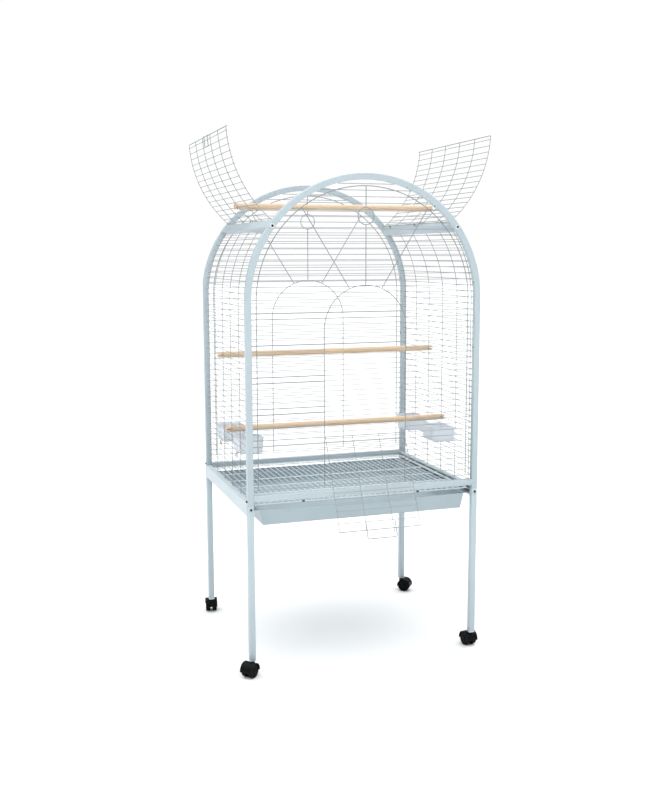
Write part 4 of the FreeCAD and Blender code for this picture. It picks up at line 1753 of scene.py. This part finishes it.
@dataclass
class Fasteners:
    """Screws and washers, each drawn once and put on its seats."""

    head: float = 3.6 * MM
    head_height: float = 3.2 * MM
    steps: int = 24
    washer: float = 1.2 * MM
    leg_screw: float = 550 * MM
    post_screw: float = 575 * MM
    panel_screw: float = 1040 * MM
    panel_angles: tuple[float, ...] = (8.3, 52.0)

    def socket_screw(self) -> bpy.types.Object:
        """Return one socket screw's head, with its seat at the origin and facing +Z.

        Returns:
            The template.
        """
        rings = []
        r, h = self.head, self.head_height
        for radius, z in ((r - 0.2 * MM, 0.0), (r, 0.2 * MM), (r, h - 0.5 * MM), (r - 0.5 * MM, h)):
            rings.append(self.circle(radius, z))
        rings += [self.hexagon(1.75 * MM, h), self.hexagon(1.7 * MM, h - 1.8 * MM)]
        return self.keep("socket_screw", ring_mesh(rings))

    def circle(self, radius: float, z: float) -> Ring:
        """Return a circle's ring."""
        angles = [2 * math.pi * n / self.steps for n in range(self.steps)]
        return [Vector((radius * math.cos(a), radius * math.sin(a), z)) for a in angles]

    def hexagon(self, radius: float, z: float) -> Ring:
        """Return a hexagon's ring with as many points as a circle's.

        Args:
            radius: The distance to a corner.
            z: The height.

        Returns:
            The ring.
        """
        ring = []
        for n in range(self.steps):
            a = 2 * math.pi * n / self.steps
            apart = (a % (math.pi / 3)) - math.pi / 6
            size = radius * math.cos(math.pi / 6) / math.cos(apart)
            ring.append(Vector((size * math.cos(a), size * math.sin(a), z)))
        return ring

    def tapping_screw(self) -> bpy.types.Object:
        """Return one small tapping screw's domed head.

        Returns:
            The template.
        """
        dome = [(2.8, 0.0), (2.8, 0.3), (2.55, 0.9), (2.0, 1.35), (1.2, 1.58), (0.5, 1.6)]
        rings = [self.circle(r * MM, z * MM) for r, z in dome]
        return self.keep("tapping_screw", ring_mesh(rings))

    def washer_ring(self) -> bpy.types.Object:
        """Return one washer.

        Returns:
            The template.
        """
        section = [(2.2, 0.0), (6.7, 0.0), (7.0, 0.3), (7.0, 0.9), (6.6, 1.2), (2.2, 1.2)]
        rings = [self.circle(r * MM, z * MM) for r, z in section]
        return self.keep("washer", ring_mesh(rings, loop=True))

    def keep(self, name: str, mesh: bpy.types.Mesh) -> bpy.types.Object:
        """Return a template object that is only copied, never shown."""
        return bpy.data.objects.new(name, facing_out(mesh))

    def seat(self, node: str, slot: Slot, template: bpy.types.Object,
             seats: Sequence[tuple[Vector, Vector]]) -> None:
        """Put a template on every seat.

        Args:
            node: The node that the result stands for.
            slot: Its finish.
            template: The object to copy.
            seats: Each seat's place and the way it faces.
        """
        base = bpy.data.meshes.new("seats")
        base.from_pydata([tuple(p) for p, _ in seats], [], [])
        facing = base.attributes.new("facing", "FLOAT_VECTOR", "POINT")
        for n, (_, way) in enumerate(seats):
            facing.data[n].vector = way
        bpy.context.scene.collection.objects.link(template)
        mesh = GROWER.grow(pieces_on_seats, {"Piece": template, "Material": PAINTS.get(slot)}, base)
        bpy.data.objects.remove(template)
        Pile(f"{node}_set", slot, "frame", (node,), smooth_angle=35.0).add(mesh).finish()

    def build(self) -> None:
        """Build every fastener."""
        joint, bar, washers, small = [], [], [], []
        angle = math.radians(CAGE.crossbar_angle)
        bar_x, bar_z = CAGE.crown * math.cos(angle), CAGE.spring + CAGE.crown * math.sin(angle)
        for side, end in CORNERS.values():
            x, y = side * CAGE.crown, end * (CAGE.half_depth - CAGE.tube / 2)
            face, out = Vector((0, end, 0)), Vector((side, 0, 0))
            joint.append((Vector((x, end * CAGE.half_depth, self.leg_screw)), face))
            joint.append((Vector((side * CAGE.half_width, y, self.post_screw)), out))
            spot = Vector((side * bar_x, end * CAGE.half_depth, bar_z))
            washers.append((spot, face))
            bar.append((spot + face * self.washer, face))
            small += self.panel_seats(side, y)
        self.seat("joint_screws", Slot.SCREW, self.socket_screw(), joint)
        self.seat("crossbar_screws", Slot.SCREW, self.socket_screw(), bar)
        self.seat("crossbar_washers", Slot.WASHER, self.washer_ring(), washers)
        self.seat("panel_screws", Slot.SCREW, self.tapping_screw(), small)

    def panel_seats(self, side: int, y: float) -> list[tuple[Vector, Vector]]:
        """Return the tapping screws' seats on one side of a hoop's inner face.

        Args:
            side: The side in X.
            y: The hoop's plane.

        Returns:
            Each seat's place and the way it faces.
        """
        seats = [(Vector((side * CAGE.inner_x, y, self.panel_screw)), Vector((-side, 0, 0)))]
        for degrees in self.panel_angles:
            a = math.radians(degrees)
            out = Vector((side * math.cos(a), 0, math.sin(a)))
            spot = out * CAGE.inner_x + Vector((0, y, CAGE.spring))
            seats.append((spot, -out))
        return seats


@dataclass
class Casters:
    """The caster wheels, with ribbed treads and dished faces. The hoods keep their own shape."""

    steps: int = 56

    def build(self) -> None:
        """Build each caster's twin wheels."""
        joints = {j["name"]: j for j in frame["joints"]}
        for name in CORNERS:
            roll = joints[f"roll_{name}"]
            centre, axis = Vector(roll["pos_m"]), Vector(roll["axis"])
            node = f"caster_wheels_{name}"
            pile = Pile(f"{node}_pair", Slot.TREAD, f"wheels_{name}", (node,), smooth_angle=35.0)
            for side in (-1, 1):
                pile.add(self.wheel(centre, axis * side))
            pile.finish()

    def wheel(self, centre: Vector, axis: Vector) -> bpy.types.Mesh:
        """Return one wheel: a tread with shallow grooves, a rounded shoulder and a stepped face.

        Args:
            centre: The caster's middle on its axle.
            axis: The way the wheel lies from it.

        Returns:
            The mesh.
        """
        profile = [(4.0, 5.2), (9.0, 5.2), (9.4, 6.0), (19.4, 6.0), (20.0, 5.0), (22.2, 5.0), (23.0, 5.8),
                   (23.0, 8.6), (22.5, 8.9), (22.5, 9.5), (23.0, 9.8), (23.0, 14.2), (22.5, 14.5),
                   (22.5, 15.1), (23.0, 15.4), (23.0, 17.2), (22.5, 18.5), (21.4, 19.4), (19.6, 19.9),
                   (18.6, 19.6), (18.0, 18.4), (10.4, 18.0), (9.8, 18.6), (9.2, 19.6), (7.0, 19.9),
                   (3.4, 19.9), (3.0, 19.5), (3.0, 18.6), (1.0, 18.4)]
        return facing_out(turned([(r * MM, w * MM) for r, w in profile], centre, axis, self.steps))


@dataclass
class CadDress:
    """Finishes for the frame's own nodes that keep their shape."""

    def build(self) -> None:
        """Give each node that is still shown its slot's finish."""
        slots = {s["node"]: s["material_slot"] for s in frame["record"]["subparts"]}
        for name, piece in frame["nodes"].items():
            piece.data.materials.clear()
            piece.data.materials.append(PAINTS.get(Slot(slots[name])))


# ---------------------------------------------------------------- studio


@dataclass
class Studio:
    """The camera, the lights and the pale floor."""

    camera_place: Point = (-1.1528, -3.3779, 1.3510)
    camera_turn: tuple[float, float, float] = (81.82, 0.11, -18.79)
    lens: float = 55.12
    backdrop: float = 1.02
    floor_half: float = 40.0
    side_sky: float = 0.12
    top_sky: float = 3.3

    def build(self) -> None:
        """Build the studio."""
        self.camera()
        self.floor()
        self.lights()

    def camera(self) -> None:
        """Place the camera."""
        data = bpy.data.cameras.new("camera")
        data.sensor_fit = "HORIZONTAL"
        data.sensor_width = 36.0
        data.lens = self.lens
        data.clip_end = 50.0
        camera = bpy.data.objects.new("camera", data)
        camera.location = self.camera_place
        camera.rotation_euler = [math.radians(a) for a in self.camera_turn]
        bpy.context.scene.collection.objects.link(camera)
        bpy.context.scene.camera = camera

    def floor(self) -> None:
        """Lay a wide pale floor."""
        size = self.floor_half
        mesh = bpy.data.meshes.new("studio_floor")
        mesh.from_pydata([(-size, -size, 0), (size, -size, 0), (size, size, 0), (-size, size, 0)],
                         [], [(0, 1, 2, 3)])
        mesh.materials.append(Plain("studio_floor_paint", "#ebecec", 0.9).material())
        floor = bpy.data.objects.new("studio_floor", mesh)
        bpy.context.scene.collection.objects.link(floor)

    def lights(self) -> None:
        """Set a sky that is bright overhead and softer at the sides, and two large soft lamps."""
        world = bpy.data.worlds.new("studio")
        bpy.context.scene.world = world
        world.use_nodes = True
        tree = world.node_tree
        tree.nodes.clear()
        # Camera rays see an even white backdrop, and the sky lights everything else.
        place = add_node(tree, "ShaderNodeTexCoord").outputs["Generated"]
        height = add_node(tree, "ShaderNodeSeparateXYZ", {0: place}).outputs["Z"]
        steep = sum_of(tree, "POWER", sum_of(tree, "MAXIMUM", height, 0.0), 2.0)
        power = add_node(tree, "ShaderNodeMapRange", {
            "Value": steep, "To Min": self.side_sky, "To Max": self.top_sky})
        sky = add_node(tree, "ShaderNodeBackground", {"Color": WHITE, "Strength": power.outputs[0]})
        backdrop = add_node(tree, "ShaderNodeBackground", {"Color": WHITE, "Strength": self.backdrop})
        seen = add_node(tree, "ShaderNodeLightPath").outputs["Is Camera Ray"]
        both = add_node(tree, "ShaderNodeMixShader", {0: seen, 1: sky.outputs[0], 2: backdrop.outputs[0]})
        add_node(tree, "ShaderNodeOutputWorld", {"Surface": both.outputs[0]})
        self.lamp("key", (-2.2, -2.4, 2.9), 22.0, 1.8)
        self.lamp("fill", (2.6, -3.0, 2.6), 6.0, 2.0)

    def lamp(self, name: str, place: Point, power: float, size: float) -> None:
        """Hang a square lamp that faces the cage's middle.

        Args:
            name: The lamp's name.
            place: Where it hangs.
            power: Its power in watts.
            size: Its side.
        """
        data = bpy.data.lights.new(name, "AREA")
        data.energy = power
        data.size = size
        lamp = bpy.data.objects.new(name, data)
        lamp.location = place
        aim = Vector((0, 0, 0.9)) - Vector(place)
        lamp.rotation_euler = aim.to_track_quat("-Z", "Y").to_euler()
        bpy.context.scene.collection.objects.link(lamp)


def main() -> None:
    """Build the studio and every sub-assembly in order."""
    logging.basicConfig(level=logging.INFO, format="%(name)s: %(message)s")
    bpy.context.scene.view_settings.view_transform = "Standard"
    Studio().build()
    CadDress().build()
    for part in (Tubes(), SheetWork(), SidePanels(), FacePanels(), FrontDoor(), TopFlaps(), Grate(),
                 Dowels(), Cups(), Fasteners(), Casters()):
        LOG.info("building %s", type(part).__name__)
        part.build()


if __name__ == "__main__":
    main()
